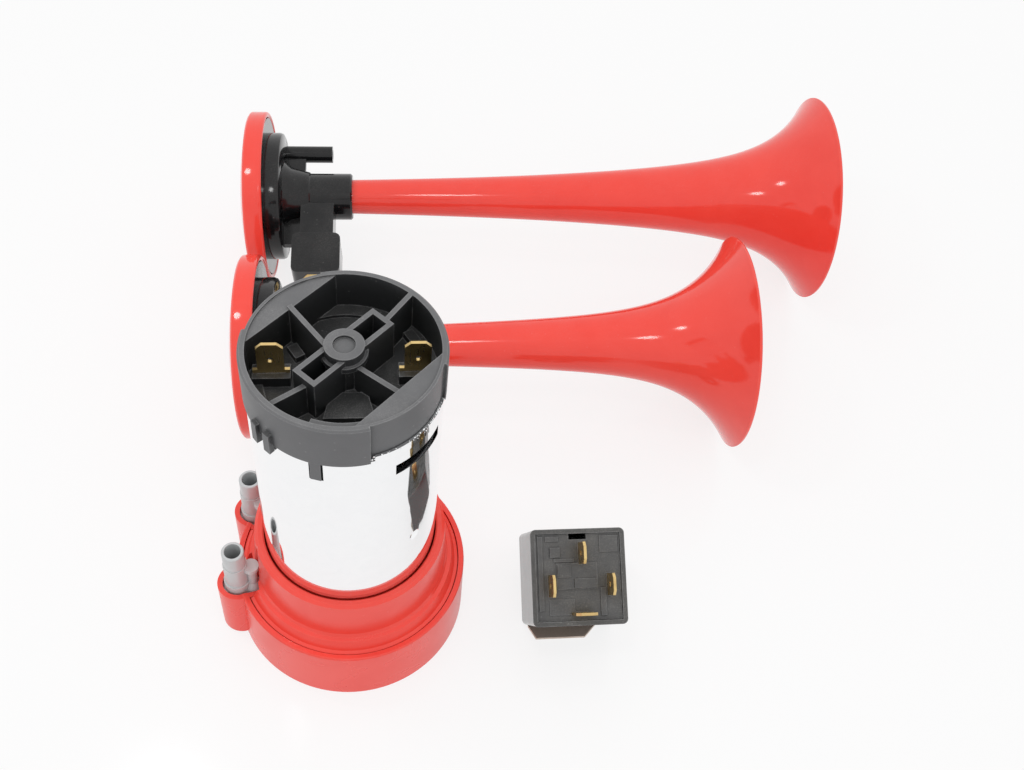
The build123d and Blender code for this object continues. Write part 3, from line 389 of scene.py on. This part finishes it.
finishes = {
    "chrome_can": (metal, steel, {
        "colour": (0.93, 0.935, 0.94), "streakColour": (0.90, 0.905, 0.915), "stain": 0.06,
        "stainColour": (0.70, 0.71, 0.73), "roughness": (0.030, 0.055), "streakHeight": 0.0004,
        "scratchDepth": 0.001, "stretch": (1.0, 1.0, 1.0), "streakScale": 220.0}),
    "cap_black": (plastic, blackPlastic, {
        "colour": (0.108, 0.109, 0.113), "mottle": (0.132, 0.133, 0.138),
        # painted shade: a near-black colour painted into the cap's recesses by ambient occlusion
        "recessShadeColour": (0.018, 0.019, 0.020), "recessShadeReach": 0.024, "dust": 0.12}),
    "terminal_brass": (metal, brass, {}),
    "magnet_ferrite": (plastic, blackPlastic, {
        "colour": (0.10, 0.10, 0.105), "mottle": (0.13, 0.13, 0.135), "wornColour": (0.22, 0.22, 0.22)}),
    "lamination_steel": (metal, steel, {"stretch": (0.02, 0.02, 1.0), "streakScale": 3000.0}),
    "winding_copper": (metal, brass, {
        "colour": (0.70, 0.27, 0.11), "streakColour": (0.56, 0.19, 0.07), "stainColour": (0.30, 0.10, 0.05),
        "stretch": (1.0, 1.0, 0.03), "streakScale": 2600.0, "streakHeight": 0.05}),
    "commutator_copper": (metal, brass, {
        "colour": (0.78, 0.40, 0.24), "streakColour": (0.66, 0.31, 0.17), "stainColour": (0.25, 0.15, 0.11),
        "stretch": (0.05, 0.05, 1.0)}),
    "shaft_steel": (metal, steel, {"stretch": (0.05, 0.05, 1.0), "roughness": (0.14, 0.24)}),
    "bush_bronze": (metal, brass, {"colour": (0.58, 0.40, 0.20), "streakColour": (0.50, 0.34, 0.16),
                                   "roughness": (0.4, 0.55)}),
    "holder_brass": (metal, brass, {}),
    "brush_carbon": (plastic, blackPlastic, {"colour": (0.05, 0.05, 0.055), "mottle": (0.08, 0.08, 0.085)}),
    "spring_steel": (metal, steel, {"roughness": (0.15, 0.25)}),
    "base_red": (plastic, redPlastic, {"roughness": (0.24, 0.32)}),
    "cover_red": (plastic, redPlastic, {"roughness": (0.20, 0.27)}),
    "pump_alloy": (metal, steel, {"colour": (0.72, 0.73, 0.745), "streakColour": (0.63, 0.64, 0.655)}),
    "plate_steel": (metal, steel, {"stretch": (0.06, 1.0, 1.0)}),
    "vane_carbon": (plastic, blackPlastic, {"colour": (0.06, 0.06, 0.065), "mottle": (0.09, 0.09, 0.095)}),
    "screw_steel": (metal, steel, {"colour": (0.66, 0.665, 0.66), "streakColour": (0.58, 0.585, 0.575)}),
    "insert_brass": (metal, brass, {}),
    "nozzle_grey": (plastic, blackPlastic, {
        "colour": (0.60, 0.615, 0.62), "mottle": (0.55, 0.565, 0.57), "wornColour": (0.72, 0.72, 0.72),
        "roughness": (0.28, 0.38), "grainHeight": 0.006, "flowHeight": 0.006, "dust": 0.1, "speck": 0.0}),
    "trumpet_red": (plastic, redPlastic, {}),
    "head_black": (plastic, blackPlastic, {
        "colour": (0.007, 0.0072, 0.008), "mottle": (0.010, 0.0102, 0.011), "wornColour": (0.06, 0.06, 0.062),
        "roughness": (0.09, 0.14), "ior": 1.4, "grainScale": 1200.0, "grainHeight": 0.002,
        "wear": 0.5, "dust": 0.06, "speck": 0.05}),
    "head_red": (plastic, redPlastic, {}),
    "diaphragm_steel": (metal, steel, {"roughness": (0.16, 0.26)}),
    "gasket_rubber": (plastic, blackPlastic, {"roughness": (0.6, 0.7)}),
    "relay_black": (plastic, blackPlastic, {
        "colour": (0.052, 0.051, 0.049), "mottle": (0.062, 0.061, 0.059), "roughness": (0.12, 0.18),
        "grainHeight": 0.004, "grainScale": 1400.0, "ior": 1.55}),
    "relay_base_black": (plastic, blackPlastic, {
        "colour": (0.060, 0.060, 0.062), "mottle": (0.085, 0.084, 0.082), "roughness": (0.38, 0.50),
        # painted shade: a near-black colour painted into the base plate's hollows by ambient occlusion
        "flowScale": 260.0, "recessShadeColour": (0.020, 0.020, 0.020), "recessShadeReach": 0.004}),
    "bracket_steel": (metal, brass, {
        "colour": (0.66, 0.57, 0.50), "streakColour": (0.57, 0.48, 0.42), "stainColour": (0.42, 0.33, 0.27),
        "roughness": (0.42, 0.58)}),
    "relay_brass": (metal, brass, {"stain": 0.7}),
    "coil_copper": (metal, brass, {
        "colour": (0.66, 0.24, 0.09), "streakColour": (0.50, 0.16, 0.06), "stainColour": (0.28, 0.09, 0.04),
        "stretch": (0.03, 1.0, 0.03), "streakScale": 2600.0, "streakHeight": 0.05}),
    "yoke_steel": (metal, steel, {}),
}

slotOf = {part["node"]: part["material_slot"] for part in frame["record"]["subparts"]}
made = {}
for slotName, (kind, base, change) in finishes.items():
    made[slotName] = kind(slotName, {**base, **change})
for nodeName, piece in nodes.items():
    for holder in piece.material_slots:
        holder.material = made[slotOf[nodeName]]
print("materials:", len(made))

longHorn = {
    "node": "long_trumpet", "middle": 143.6, "mouthMiddle": 136.6, "length": 197.9,
    "stem": 4.72, "taper": 14.81, "taperRun": 71.1, "flare": 17.27, "flareRun": 11.94,
}
shortHorn = {
    "node": "short_trumpet", "middle": 73.2, "mouthMiddle": 68.7, "length": 154.6,
    "stem": 4.2, "taper": 8.94, "taperRun": 83.8, "flare": 22.06, "flareRun": 13.07,
}
hornMake = {
    "wall": 1.6,
    "rimThickening": 1.5,
    "rimRound": 1.2,         # how far the rounded rim stands out in front
    "plugRadius": 5.6,
    "plugStart": 15.7,
    "socketEnd": 29.2,
    "throatRadius": 4.4,
    "headsX": -27.6,
    "coverRadius": 29.9,
    "coverBand": 6.2,
    "around": 145,           # points round the axis, the first and last in one place
    "steps": 64,             # points along each side of the wall
}


# A strip of wall round the Z axis; profile turns a share of 0 to 1 into a radius and a height
def latheStrip(tree, steps, around, profile):
    grid = addNode(tree, "GeometryNodeMeshGrid", {"Size X": 1.0, "Size Y": 1.0, "Vertices X": steps,
                                                  "Vertices Y": around})
    corner = tree.nodes.new("GeometryNodeInputPosition").outputs[0]
    place = addNode(tree, "ShaderNodeSeparateXYZ", {0: corner})
    share = calc(tree, "ADD", place.outputs["X"], 0.5)
    turn = calc(tree, "MULTIPLY", calc(tree, "ADD", place.outputs["Y"], 0.5), 2 * math.pi)
    radius, height = profile(share)
    spot = joined(tree, calc(tree, "MULTIPLY", radius, calc(tree, "COSINE", turn)),
                  calc(tree, "MULTIPLY", radius, calc(tree, "SINE", turn)), height)
    moved = addNode(tree, "GeometryNodeSetPosition", {"Geometry": grid.outputs["Mesh"], "Position": spot})
    return moved.outputs[0]


# Flared trumpet: radius = stem + taper * exp(-d / run) + flare * exp(-d / run), d back from the rim
def hornGroup():
    sizes = ("Length", "Stem", "Taper", "Taper Run", "Flare", "Flare Run", "Wall", "Rim Thickening",
             "Rim Round", "Plug Radius", "Plug Start", "Socket End", "Throat Radius")
    group, entry, leave = newGroup("trumpetWall", tuple((label, "Float", 1.0) for label in sizes) + (
        ("Around", "Int", 145), ("Steps", "Int", 64), ("Finish", "Material", None)),
        (("Geometry", "Geometry"),), "GeometryNodeTree")
    run = calc(group, "SUBTRACT", entry["Length"], entry["Socket End"])

    def fading(amount, distance, reach):
        power = calc(group, "DIVIDE", calc(group, "MULTIPLY", distance, -1.0), reach)
        return calc(group, "MULTIPLY", amount, calc(group, "EXPONENT", power))

    def outside(distance):
        tapered = calc(group, "ADD", entry["Stem"], fading(entry["Taper"], distance, entry["Taper Run"]))
        return calc(group, "ADD", tapered, fading(entry["Flare"], distance, entry["Flare Run"]))

    def inside(distance):
        extra = fading(entry["Rim Thickening"], distance, entry["Flare Run"])
        return calc(group, "SUBTRACT", outside(distance), calc(group, "ADD", entry["Wall"], extra))

    def outerSide(share):
        distance = calc(group, "MULTIPLY", run, calc(group, "MULTIPLY", share, share))
        return outside(distance), calc(group, "SUBTRACT", entry["Length"], distance)

    def boreSide(share):
        back = calc(group, "SUBTRACT", 1.0, share)
        distance = calc(group, "MULTIPLY", run, calc(group, "MULTIPLY", back, back))
        return inside(distance), calc(group, "SUBTRACT", entry["Length"], distance)

    def lip(share):
        turn = calc(group, "MULTIPLY", share, math.pi)
        outer, inner = outside(0.0), inside(0.0)
        middle = calc(group, "MULTIPLY", calc(group, "ADD", outer, inner), 0.5)
        half = calc(group, "MULTIPLY", calc(group, "SUBTRACT", outer, inner), 0.5)
        radius = calc(group, "SUBTRACT", middle, calc(group, "MULTIPLY", half, calc(group, "COSINE", turn)))
        rise = calc(group, "MULTIPLY", entry["Rim Round"], calc(group, "SINE", turn))
        return radius, calc(group, "ADD", entry["Length"], rise)

    def straight(radius, height, endRadius, endHeight):
        return lambda share: (blendValue(group, share, radius, endRadius),
                              blendValue(group, share, height, endHeight))

    plug, low, high = entry["Plug Radius"], entry["Plug Start"], entry["Socket End"]
    throat = entry["Throat Radius"]
    steps, around = entry["Steps"], entry["Around"]
    strips = [latheStrip(group, steps, around, boreSide), latheStrip(group, 13, around, lip),
              latheStrip(group, steps, around, outerSide),
              latheStrip(group, 2, around, straight(outside(run), high, plug, high)),
              latheStrip(group, 2, around, straight(plug, high, plug, low)),
              latheStrip(group, 2, around, straight(plug, low, throat, low)),
              latheStrip(group, 2, around, straight(throat, low, inside(run), high))]
    whole = group.nodes.new("GeometryNodeJoinGeometry")
    for strip in strips:
        group.links.new(strip, whole.inputs[0])
    closed = addNode(group, "GeometryNodeMergeByDistance", {"Geometry": whole.outputs[0],
                                                            "Distance": 0.01 * mm})
    smooth = addNode(group, "GeometryNodeSetShadeSmooth", {0: closed.outputs[0]})
    bend = group.nodes.new("GeometryNodeInputMeshEdgeAngle").outputs[0]
    fold = addNode(group, "FunctionNodeCompare", {0: bend, 1: math.radians(50)}, operation="GREATER_THAN")
    creased = addNode(group, "GeometryNodeSetShadeSmooth", {0: smooth.outputs[0], 1: fold.outputs[0],
                                                            2: False}, domain="EDGE")
    return endGroup(group, creased.outputs[0], entry, leave)


# Cover and bell both stand on the ground, so a trumpet tilts a little and is turned a little
def hornPlace(horn, make):
    rim = horn["stem"] + horn["taper"] + horn["flare"]
    tilt = math.atan((rim - make["coverRadius"]) / (horn["length"] + make["coverBand"]))
    turn = math.atan((horn["mouthMiddle"] - horn["middle"]) / horn["length"])
    height = make["coverRadius"] * math.cos(tilt) + make["coverBand"] * math.sin(tilt)
    place = Vector((make["headsX"], horn["middle"], height)) * mm
    return (Matrix.Translation(place) @ Matrix.Rotation(turn, 4, "Z")
            @ Matrix.Rotation(math.pi / 2 - tilt, 4, "Y"))


def makeHorn(horn, make, group):
    values = {"Length": horn["length"], "Stem": horn["stem"], "Taper": horn["taper"],
              "Taper Run": horn["taperRun"], "Flare": horn["flare"], "Flare Run": horn["flareRun"],
              "Wall": make["wall"], "Rim Thickening": make["rimThickening"], "Rim Round": make["rimRound"],
              "Plug Radius": make["plugRadius"], "Plug Start": make["plugStart"],
              "Socket End": make["socketEnd"], "Throat Radius": make["throatRadius"]}
    values = {label: value * mm for label, value in values.items()}
    values.update({"Around": make["around"], "Steps": make["steps"], "Finish": made["trumpet_red"]})
    piece = bakeTree(horn["node"] + "_bell", group, values)
    piece.data.transform(hornPlace(horn, make))
    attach(piece, "horn_set")
    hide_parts(horn["node"])


trumpetWall = hornGroup()
for horn in (longHorn, shortHorn):
    makeHorn(horn, hornMake, trumpetWall)
print("trumpets: 2")

head = {
    "turn": 15.0,            # degrees that the nipple is turned up from the level
    "crown": 10.0, "wall": 2.0, "corner": 0.9, "domePower": 1.836,
    "skirt": 27.9, "cavity": 22.3, "clampDepth": 4.6,
    "flange": 27.7, "body": 22.6, "bodyDepth": 5.2, "bodyCorner": 1.2, "flangeInset": 0.3,
    "chamber": 20.4, "chamberDepth": 2.9, "seat": -3.2, "tube": 7.0, "tubeStart": -2.9,
    "cone": ((12.6, 5.2), (10.4, 7.6), (8.7, 14.0), (8.3, 14.4)),
    "socket": 8.3, "socketEdge": 0.6, "socketStop": 15.6, "plug": 5.7,
    "nippleOffset": 18.0, "nipple": 3.0, "nippleBore": 1.7, "nippleEnd": 21.6, "web": 2.4,
    "webTop": 12.0, "ribInset": 2.2,
    "footWidth": 14.0, "footReach": 34.5, "pad": (18.9, 8.6, 25.4), "padCorner": 2.2,
    "neck": (6.1, 11.2, 22.8), "neckInset": 1.0,
    "nutAcross": 10.0, "nutHeight": 5.0, "nutHole": 2.6, "nutPlay": 0.1, "nutEdge": 0.3,
    "boltHole": 3.2, "boltDepth": 12.0,
    "diaphragm": 26.9, "diaphragmThickness": 0.4,
    "around": 144, "coverAround": 180, "discAround": 96, "domeSteps": 28,
    "edge": 0.22,            # bevel on the moulding's edges
}


def newPiece(name, build, finish=None):
    mesh = bpy.data.meshes.new(name)
    build.to_mesh(mesh)
    build.free()
    piece = bpy.data.objects.new(name, mesh)
    bpy.context.scene.collection.objects.link(piece)
    if finish:
        mesh.materials.append(made[finish])
    return piece


# Closed shell turned round the Z axis from a closed outline of (radius, height) points
def turnedPiece(name, outline, around, finish=None):
    build = bmesh.new()
    rings = []
    for index in range(around):
        turn = 2 * math.pi * index / around
        rings.append([build.verts.new((radius * math.cos(turn) * mm, radius * math.sin(turn) * mm,
                                       height * mm)) for radius, height in outline])
    for index, ring in enumerate(rings):
        after = rings[(index + 1) % around]
        for step in range(len(outline)):
            other = (step + 1) % len(outline)
            build.faces.new((ring[step], after[step], after[other], ring[other]))
    bmesh.ops.remove_doubles(build, verts=build.verts, dist=0.002 * mm)
    bmesh.ops.recalc_face_normals(build, faces=build.faces)
    return newPiece(name, build, finish)


def boxPiece(name, low, high, edge=0.0, along=None):
    build = bmesh.new()
    bmesh.ops.create_cube(build, size=1.0)
    size = [(end - start) * mm for start, end in zip(low, high)]
    bmesh.ops.scale(build, vec=size, verts=build.verts)
    middle = [(start + end) / 2 * mm for start, end in zip(low, high)]
    bmesh.ops.translate(build, vec=middle, verts=build.verts)
    if edge:
        edges = [side for side in build.edges
                 if along is None or abs((side.verts[1].co - side.verts[0].co).normalized()[along]) > 0.9]
        bmesh.ops.bevel(build, geom=edges, offset=edge * mm, segments=6, affect="EDGES", profile=0.5)
    return newPiece(name, build)


def rodPiece(name, radius, low, high, place=None, corners=48):
    build = bmesh.new()
    bmesh.ops.create_cone(build, cap_ends=True, segments=corners, radius1=radius * mm, radius2=radius * mm,
                          depth=(high - low) * mm)
    bmesh.ops.translate(build, vec=(0, 0, (low + high) / 2 * mm), verts=build.verts)
    if place:
        bmesh.ops.transform(build, matrix=place, verts=build.verts)
    return newPiece(name, build)


# Joins and cuts a piece with others, bevels its edges and keeps the result as a plain mesh
def carve(piece, joins=(), cuts=(), edge=0.2, steps=2):
    for others, operation in ((joins, "UNION"), (cuts, "DIFFERENCE")):
        for other in others:
            modifier = piece.modifiers.new("shape", "BOOLEAN")
            modifier.operation = operation
            modifier.solver = "EXACT"
            modifier.object = other
    if edge:
        modifier = piece.modifiers.new("edges", "BEVEL")
        modifier.width = edge * mm
        modifier.segments = steps
        modifier.limit_method = "ANGLE"
        modifier.angle_limit = math.radians(35)
        modifier.use_clamp_overlap = True
    graph = bpy.context.evaluated_depsgraph_get()
    result = bpy.data.meshes.new_from_object(piece.evaluated_get(graph))
    piece.modifiers.clear()
    piece.data = result
    for other in tuple(joins) + tuple(cuts):
        bpy.data.objects.remove(other)
    return piece


# Smooth shading with creases where the surface folds by more than an angle
def smoothed(piece, fold=30.0):
    build = bmesh.new()
    build.from_mesh(piece.data)
    for face in build.faces:
        face.smooth = True
    for side in build.edges:
        side.smooth = side.calc_face_angle(0.0) < math.radians(fold)
    build.to_mesh(piece.data)
    build.free()
    return piece


def settle(piece, place, node, finish):
    smoothed(piece)
    piece.data.transform(place)
    if not piece.data.materials:
        piece.data.materials.append(made[finish])
    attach(piece, "horn_set")
    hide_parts(node)


# A cover from its skirt over the rounded rim and the dome to the hollow inside
def domeOutline(spec, outer, band):
    steps = spec["domeSteps"]
    drop = spec["crown"] - band
    corner = spec["corner"]
    half = (outer - spec["skirt"]) / 2
    outline = [(spec["skirt"], -spec["clampDepth"])]
    for step in range(11):
        turn = math.pi * (1 - step / 10)
        outline.append((outer - half + half * math.cos(turn), -half + half * math.sin(turn)))
    outline.append((outer, -band + corner))
    for step in range(1, 6):
        turn = math.pi / 2 * step / 6
        outline.append((outer - corner * (1 - math.cos(turn)),
                        -band + corner - corner * math.sin(turn)))
    for step in range(steps + 1):
        radius = (outer - corner) * (1 - step / steps)
        outline.append((radius, -spec["crown"] + drop * (radius / outer) ** spec["domePower"]))
    for step in range(steps + 1):
        radius = spec["cavity"] * step / steps
        rise = (drop - spec["wall"]) * radius / spec["cavity"]
        outline.append((radius, -spec["crown"] + spec["wall"] + rise))
    return outline + [(spec["cavity"], -spec["clampDepth"])]


def makeHeadBody(spec):
    across, depth, corner = spec["body"], spec["bodyDepth"], spec["bodyCorner"]
    outline = [(spec["chamber"], spec["seat"]), (spec["flange"], spec["seat"]),
               (spec["flange"], -spec["flangeInset"]), (across, -spec["flangeInset"]),
               (across, depth - corner), (across - corner * 0.3, depth - corner * 0.3),
               (across - corner, depth)]
    outline += list(spec["cone"])
    outline += [(spec["socket"], hornMake["socketEnd"] - spec["socketEdge"]),
                (spec["socket"] - spec["socketEdge"], hornMake["socketEnd"]),
                (spec["plug"], hornMake["socketEnd"]), (spec["plug"], spec["socketStop"]),
                (hornMake["throatRadius"], spec["socketStop"]), (hornMake["throatRadius"], spec["tubeStart"]),
                (spec["tube"], spec["tubeStart"]), (spec["tube"], spec["chamberDepth"]),
                (spec["chamber"], spec["chamberDepth"])]
    body = turnedPiece("headBody", outline, spec["around"], "head_black")
    root = depth - overlap
    offset, half, web = spec["nippleOffset"], spec["footWidth"] / 2, spec["web"] / 2
    padIn, padLow, padHigh = spec["pad"]
    neckIn, neckLow, neckHigh = spec["neck"]
    atNipple = Matrix.Translation((0, offset * mm, 0))
    middle = (padLow + padHigh) / 2
    atFoot = Matrix.Translation(Vector((0, -spec["footReach"], middle)) * mm)
    atFoot = atFoot @ Matrix.Rotation(math.pi / 2, 4, "X")
    inset = half - spec["neckInset"]
    joins = (rodPiece("nipple", spec["nipple"], root, spec["nippleEnd"], atNipple),
             boxPiece("nippleWeb", (-web, spec["socket"] - overlap, root),
                      (web, offset - spec["nipple"] + overlap, spec["webTop"])),
             boxPiece("pad", (-half, -spec["footReach"], padLow), (half, -padIn, padHigh),
                      spec["padCorner"], 0),
             boxPiece("neck", (-inset, -padIn - overlap, neckLow), (inset, -neckIn, neckHigh)),
             boxPiece("rib", (-web, -across + spec["ribInset"], root),
                      (web, -spec["socket"] + overlap, neckLow + overlap)))
    nutRadius = (spec["nutAcross"] / 2 + spec["nutPlay"]) / math.cos(math.pi / 6)
    cuts = (rodPiece("nippleHole", spec["nippleBore"], spec["chamberDepth"] - beyond,
                     spec["nippleEnd"] + beyond, atNipple),
            rodPiece("socketHole", spec["plug"], spec["socketStop"], hornMake["socketEnd"] + beyond),
            rodPiece("nutPocket", nutRadius, -spec["nutHeight"] - spec["nutPlay"], beyond, atFoot, 6),
            rodPiece("boltHole", spec["boltHole"], -spec["boltDepth"], beyond, atFoot))
    return carve(body, joins, cuts, spec["edge"]), atFoot


def makeHead(horn, spec):
    name = horn["node"].split("_")[0]
    place = hornPlace(horn, hornMake)
    turnedPlace = place @ Matrix.Rotation(math.radians(spec["turn"]), 4, "Z")
    outline = domeOutline(spec, hornMake["coverRadius"], hornMake["coverBand"])
    cover = turnedPiece(name + "_head_dome", outline, spec["coverAround"], "head_red")
    settle(cover, place, name + "_head_cover", "head_red")
    body, atFoot = makeHeadBody(spec)
    body.name = name + "_head_moulding"
    settle(body, turnedPlace, name + "_head_body", "head_black")
    thick, deep, rim = spec["diaphragmThickness"], spec["clampDepth"], spec["diaphragm"]
    disc = turnedPiece(name + "_disc", [(0, spec["seat"] - thick), (rim, spec["seat"] - thick),
                                        (rim, spec["seat"]), (0, spec["seat"])],
                       spec["discAround"], "diaphragm_steel")
    settle(disc, place, name + "_diaphragm", "diaphragm_steel")
    seal = turnedPiece(name + "_seal", [(spec["cavity"], -deep), (rim, -deep), (rim, spec["seat"] - thick),
                                        (spec["cavity"], spec["seat"] - thick)],
                       spec["discAround"], "gasket_rubber")
    settle(seal, place, name + "_gasket", "gasket_rubber")
    nutRadius = spec["nutAcross"] / 2 / math.cos(math.pi / 6)
    nut = rodPiece(name + "_nut", nutRadius, -spec["nutHeight"], 0.0, None, 6)
    hole = rodPiece("nutHole", spec["nutHole"], -spec["nutHeight"] - beyond, beyond)
    nut = carve(nut, (), (hole,), spec["nutEdge"])
    nut.data.transform(atFoot)
    settle(nut, turnedPlace, name + "_foot_nut", slotOf[name + "_foot_nut"])


for horn in (longHorn, shortHorn):
    makeHead(horn, head)
print("heads: 2")

burr = {
    "radius": 24.15,
    "height": 106.7,
    "start": -78.0,          # degrees, the right-hand lug from its front end
    "end": -16.0,
    "count": 190,
    "sideways": 0.16,        # how far a chip strays from the line
    "upright": 0.75,
    "size": (0.10, 0.34),
    "seed": 11,
}


# Ragged chips where the can's lug was staked over the cap
def burrGroup():
    group, entry, leave = newGroup("stakedEdge", (
        ("Radius", "Float", 0.024), ("Height", "Float", 0.1), ("Start", "Float", 0.0), ("End", "Float", 1.0),
        ("Count", "Int", 100), ("Sideways", "Float", 0.0002), ("Upright", "Float", 0.0005),
        ("Smallest", "Float", 0.0001), ("Largest", "Float", 0.0003), ("Seed", "Int", 1),
        ("Finish", "Material", None)), (("Geometry", "Geometry"),), "GeometryNodeTree")

    def chance(low, high, shift):
        seed = calc(group, "ADD", entry["Seed"], shift)
        drawn = addNode(group, "FunctionNodeRandomValue", {2: low, 3: high, 8: seed}, data_type="FLOAT")
        return drawn.outputs[1]

    line = addNode(group, "GeometryNodeMeshLine", {"Count": entry["Count"]})
    share = calc(group, "DIVIDE", group.nodes.new("GeometryNodeInputIndex").outputs[0], entry["Count"])
    share = calc(group, "ADD", share, chance(-0.004, 0.004, 3))
    turn = blendValue(group, share, entry["Start"], entry["End"])
    stray = calc(group, "MULTIPLY", chance(-1.0, 1.0, 1), entry["Sideways"])
    lift = calc(group, "MULTIPLY", chance(-1.0, 1.0, 2), entry["Upright"])
    radius = calc(group, "ADD", entry["Radius"], stray)
    spot = joined(group, calc(group, "MULTIPLY", radius, calc(group, "COSINE", turn)),
                  calc(group, "MULTIPLY", radius, calc(group, "SINE", turn)),
                  calc(group, "ADD", entry["Height"], lift))
    placed = addNode(group, "GeometryNodeSetPosition", {"Geometry": line.outputs[0], "Position": spot})
    chip = addNode(group, "GeometryNodeMeshIcoSphere", {"Radius": 1.0, "Subdivisions": 1})
    facing = addNode(group, "FunctionNodeRandomValue", {0: (0, 0, 0), 1: (6.3, 6.3, 6.3), 8: 7},
                     data_type="FLOAT_VECTOR")
    long = chance(entry["Smallest"], entry["Largest"], 4)
    thick = chance(entry["Smallest"], entry["Largest"], 5)
    size = joined(group, long, thick, calc(group, "MULTIPLY", thick, 0.6))
    many = addNode(group, "GeometryNodeInstanceOnPoints", {
        "Points": placed.outputs[0], "Instance": chip.outputs["Mesh"], "Rotation": facing.outputs[0],
        "Scale": size})
    return endGroup(group, many.outputs[0], entry, leave)


stakedEdge = burrGroup()
for side, halfTurn in (("right", 0.0), ("left", math.pi)):
    chips = bakeTree("staked_edge_" + side, stakedEdge, {
        "Radius": burr["radius"] * mm, "Height": burr["height"] * mm,
        "Start": math.radians(burr["start"]) + halfTurn, "End": math.radians(burr["end"]) + halfTurn,
        "Count": burr["count"], "Sideways": burr["sideways"] * mm, "Upright": burr["upright"] * mm,
        "Smallest": burr["size"][0] * mm, "Largest": burr["size"][1] * mm, "Seed": burr["seed"],
        "Finish": made["chrome_can"]})
    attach(chips, "horn_set")
print("staked edges: 2 x", burr["count"], "chips")

relayTop = {
    "x": 65.9, "y": -14.6, "tilt": 27.97,      # where the relay lies and how far it leans back
    "depth": 28.0, "height": 24.4,             # depth and level of its base plate
    "edge": 0.18,
    "fields": ((-8.4, -5.3, 5.7, 8.7, 0.5), (-7.4, -1.2, 4.3, 5.4, 0.3), (-1.4, 5.3, -3.3, -0.4, 0.75),
               (-6.3, -2.2, -0.2, 3.6, 0.6), (6.2, 8.0, -11.4, -3.2, 0.35), (6.4, 12.0, 6.9, 11.9, 0.25),
               (-12.0, -10.4, -9.6, 12.0, 0.3), (-9.6, -5.6, 10.3, 12.0, 0.3),
               (-9.0, -1.4, -11.0, -6.2, 0.2)),    # left, right, front, back, height
}


# Low raised fields on the base plate, each a bevelled pad that stands in the plate
def makeRelayFields(spec):
    place = (Matrix.Translation(Vector((spec["x"], spec["y"], 0)) * mm)
             @ Matrix.Rotation(math.radians(spec["tilt"]), 4, "X"))
    build = bmesh.new()
    for left, right, front, back, height in spec["fields"]:
        middle = Vector(((left + right) / 2, spec["depth"] / 2 + (front + back) / 2,
                         spec["height"] + (height - overlap) / 2)) * mm
        size = Vector((right - left, back - front, height + overlap)) * mm
        new = bmesh.ops.create_cube(build, size=1.0)["verts"]
        bmesh.ops.scale(build, vec=size, verts=new)
        bmesh.ops.translate(build, vec=middle, verts=new)
        edges = [edge for edge in build.edges if all(corner in new for corner in edge.verts)]
        bmesh.ops.bevel(build, geom=edges, offset=spec["edge"] * mm, segments=3, affect="EDGES", profile=0.5)
    piece = newPiece("relay_base_fields", build, "relay_base_black")
    piece.data.transform(place)
    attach(piece, "horn_set")


makeRelayFields(relayTop)

relayToe = {
    "plan": ((-12.4, 1.4), (-12.4, -1.0), (-10.3, -5.2), (4.9, -5.2), (8.9, -1.0), (8.9, 1.4)),
    "thickness": 0.9,
    "edge": 0.2,
}


# The flat toe of the steel plate under the relay's lower end
def makeRelayToe(spec, relay):
    build = bmesh.new()
    low = [build.verts.new(((x + relay["x"]) * mm, (y + relay["y"]) * mm, 0)) for x, y in spec["plan"]]
    build.faces.new(low)
    top = bmesh.ops.extrude_face_region(build, geom=list(build.faces))["geom"]
    corners = [item for item in top if isinstance(item, bmesh.types.BMVert)]
    bmesh.ops.translate(build, vec=(0, 0, spec["thickness"] * mm), verts=corners)
    bmesh.ops.recalc_face_normals(build, faces=build.faces)
    bmesh.ops.bevel(build, geom=list(build.edges), offset=spec["edge"] * mm, segments=2, affect="EDGES",
                    profile=0.5)
    piece = newPiece("relay_bracket_toe", build, "bracket_steel")
    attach(piece, "horn_set")


makeRelayToe(relayToe, relayTop)
print("relay:", len(relayTop["fields"]), "fields and a toe")
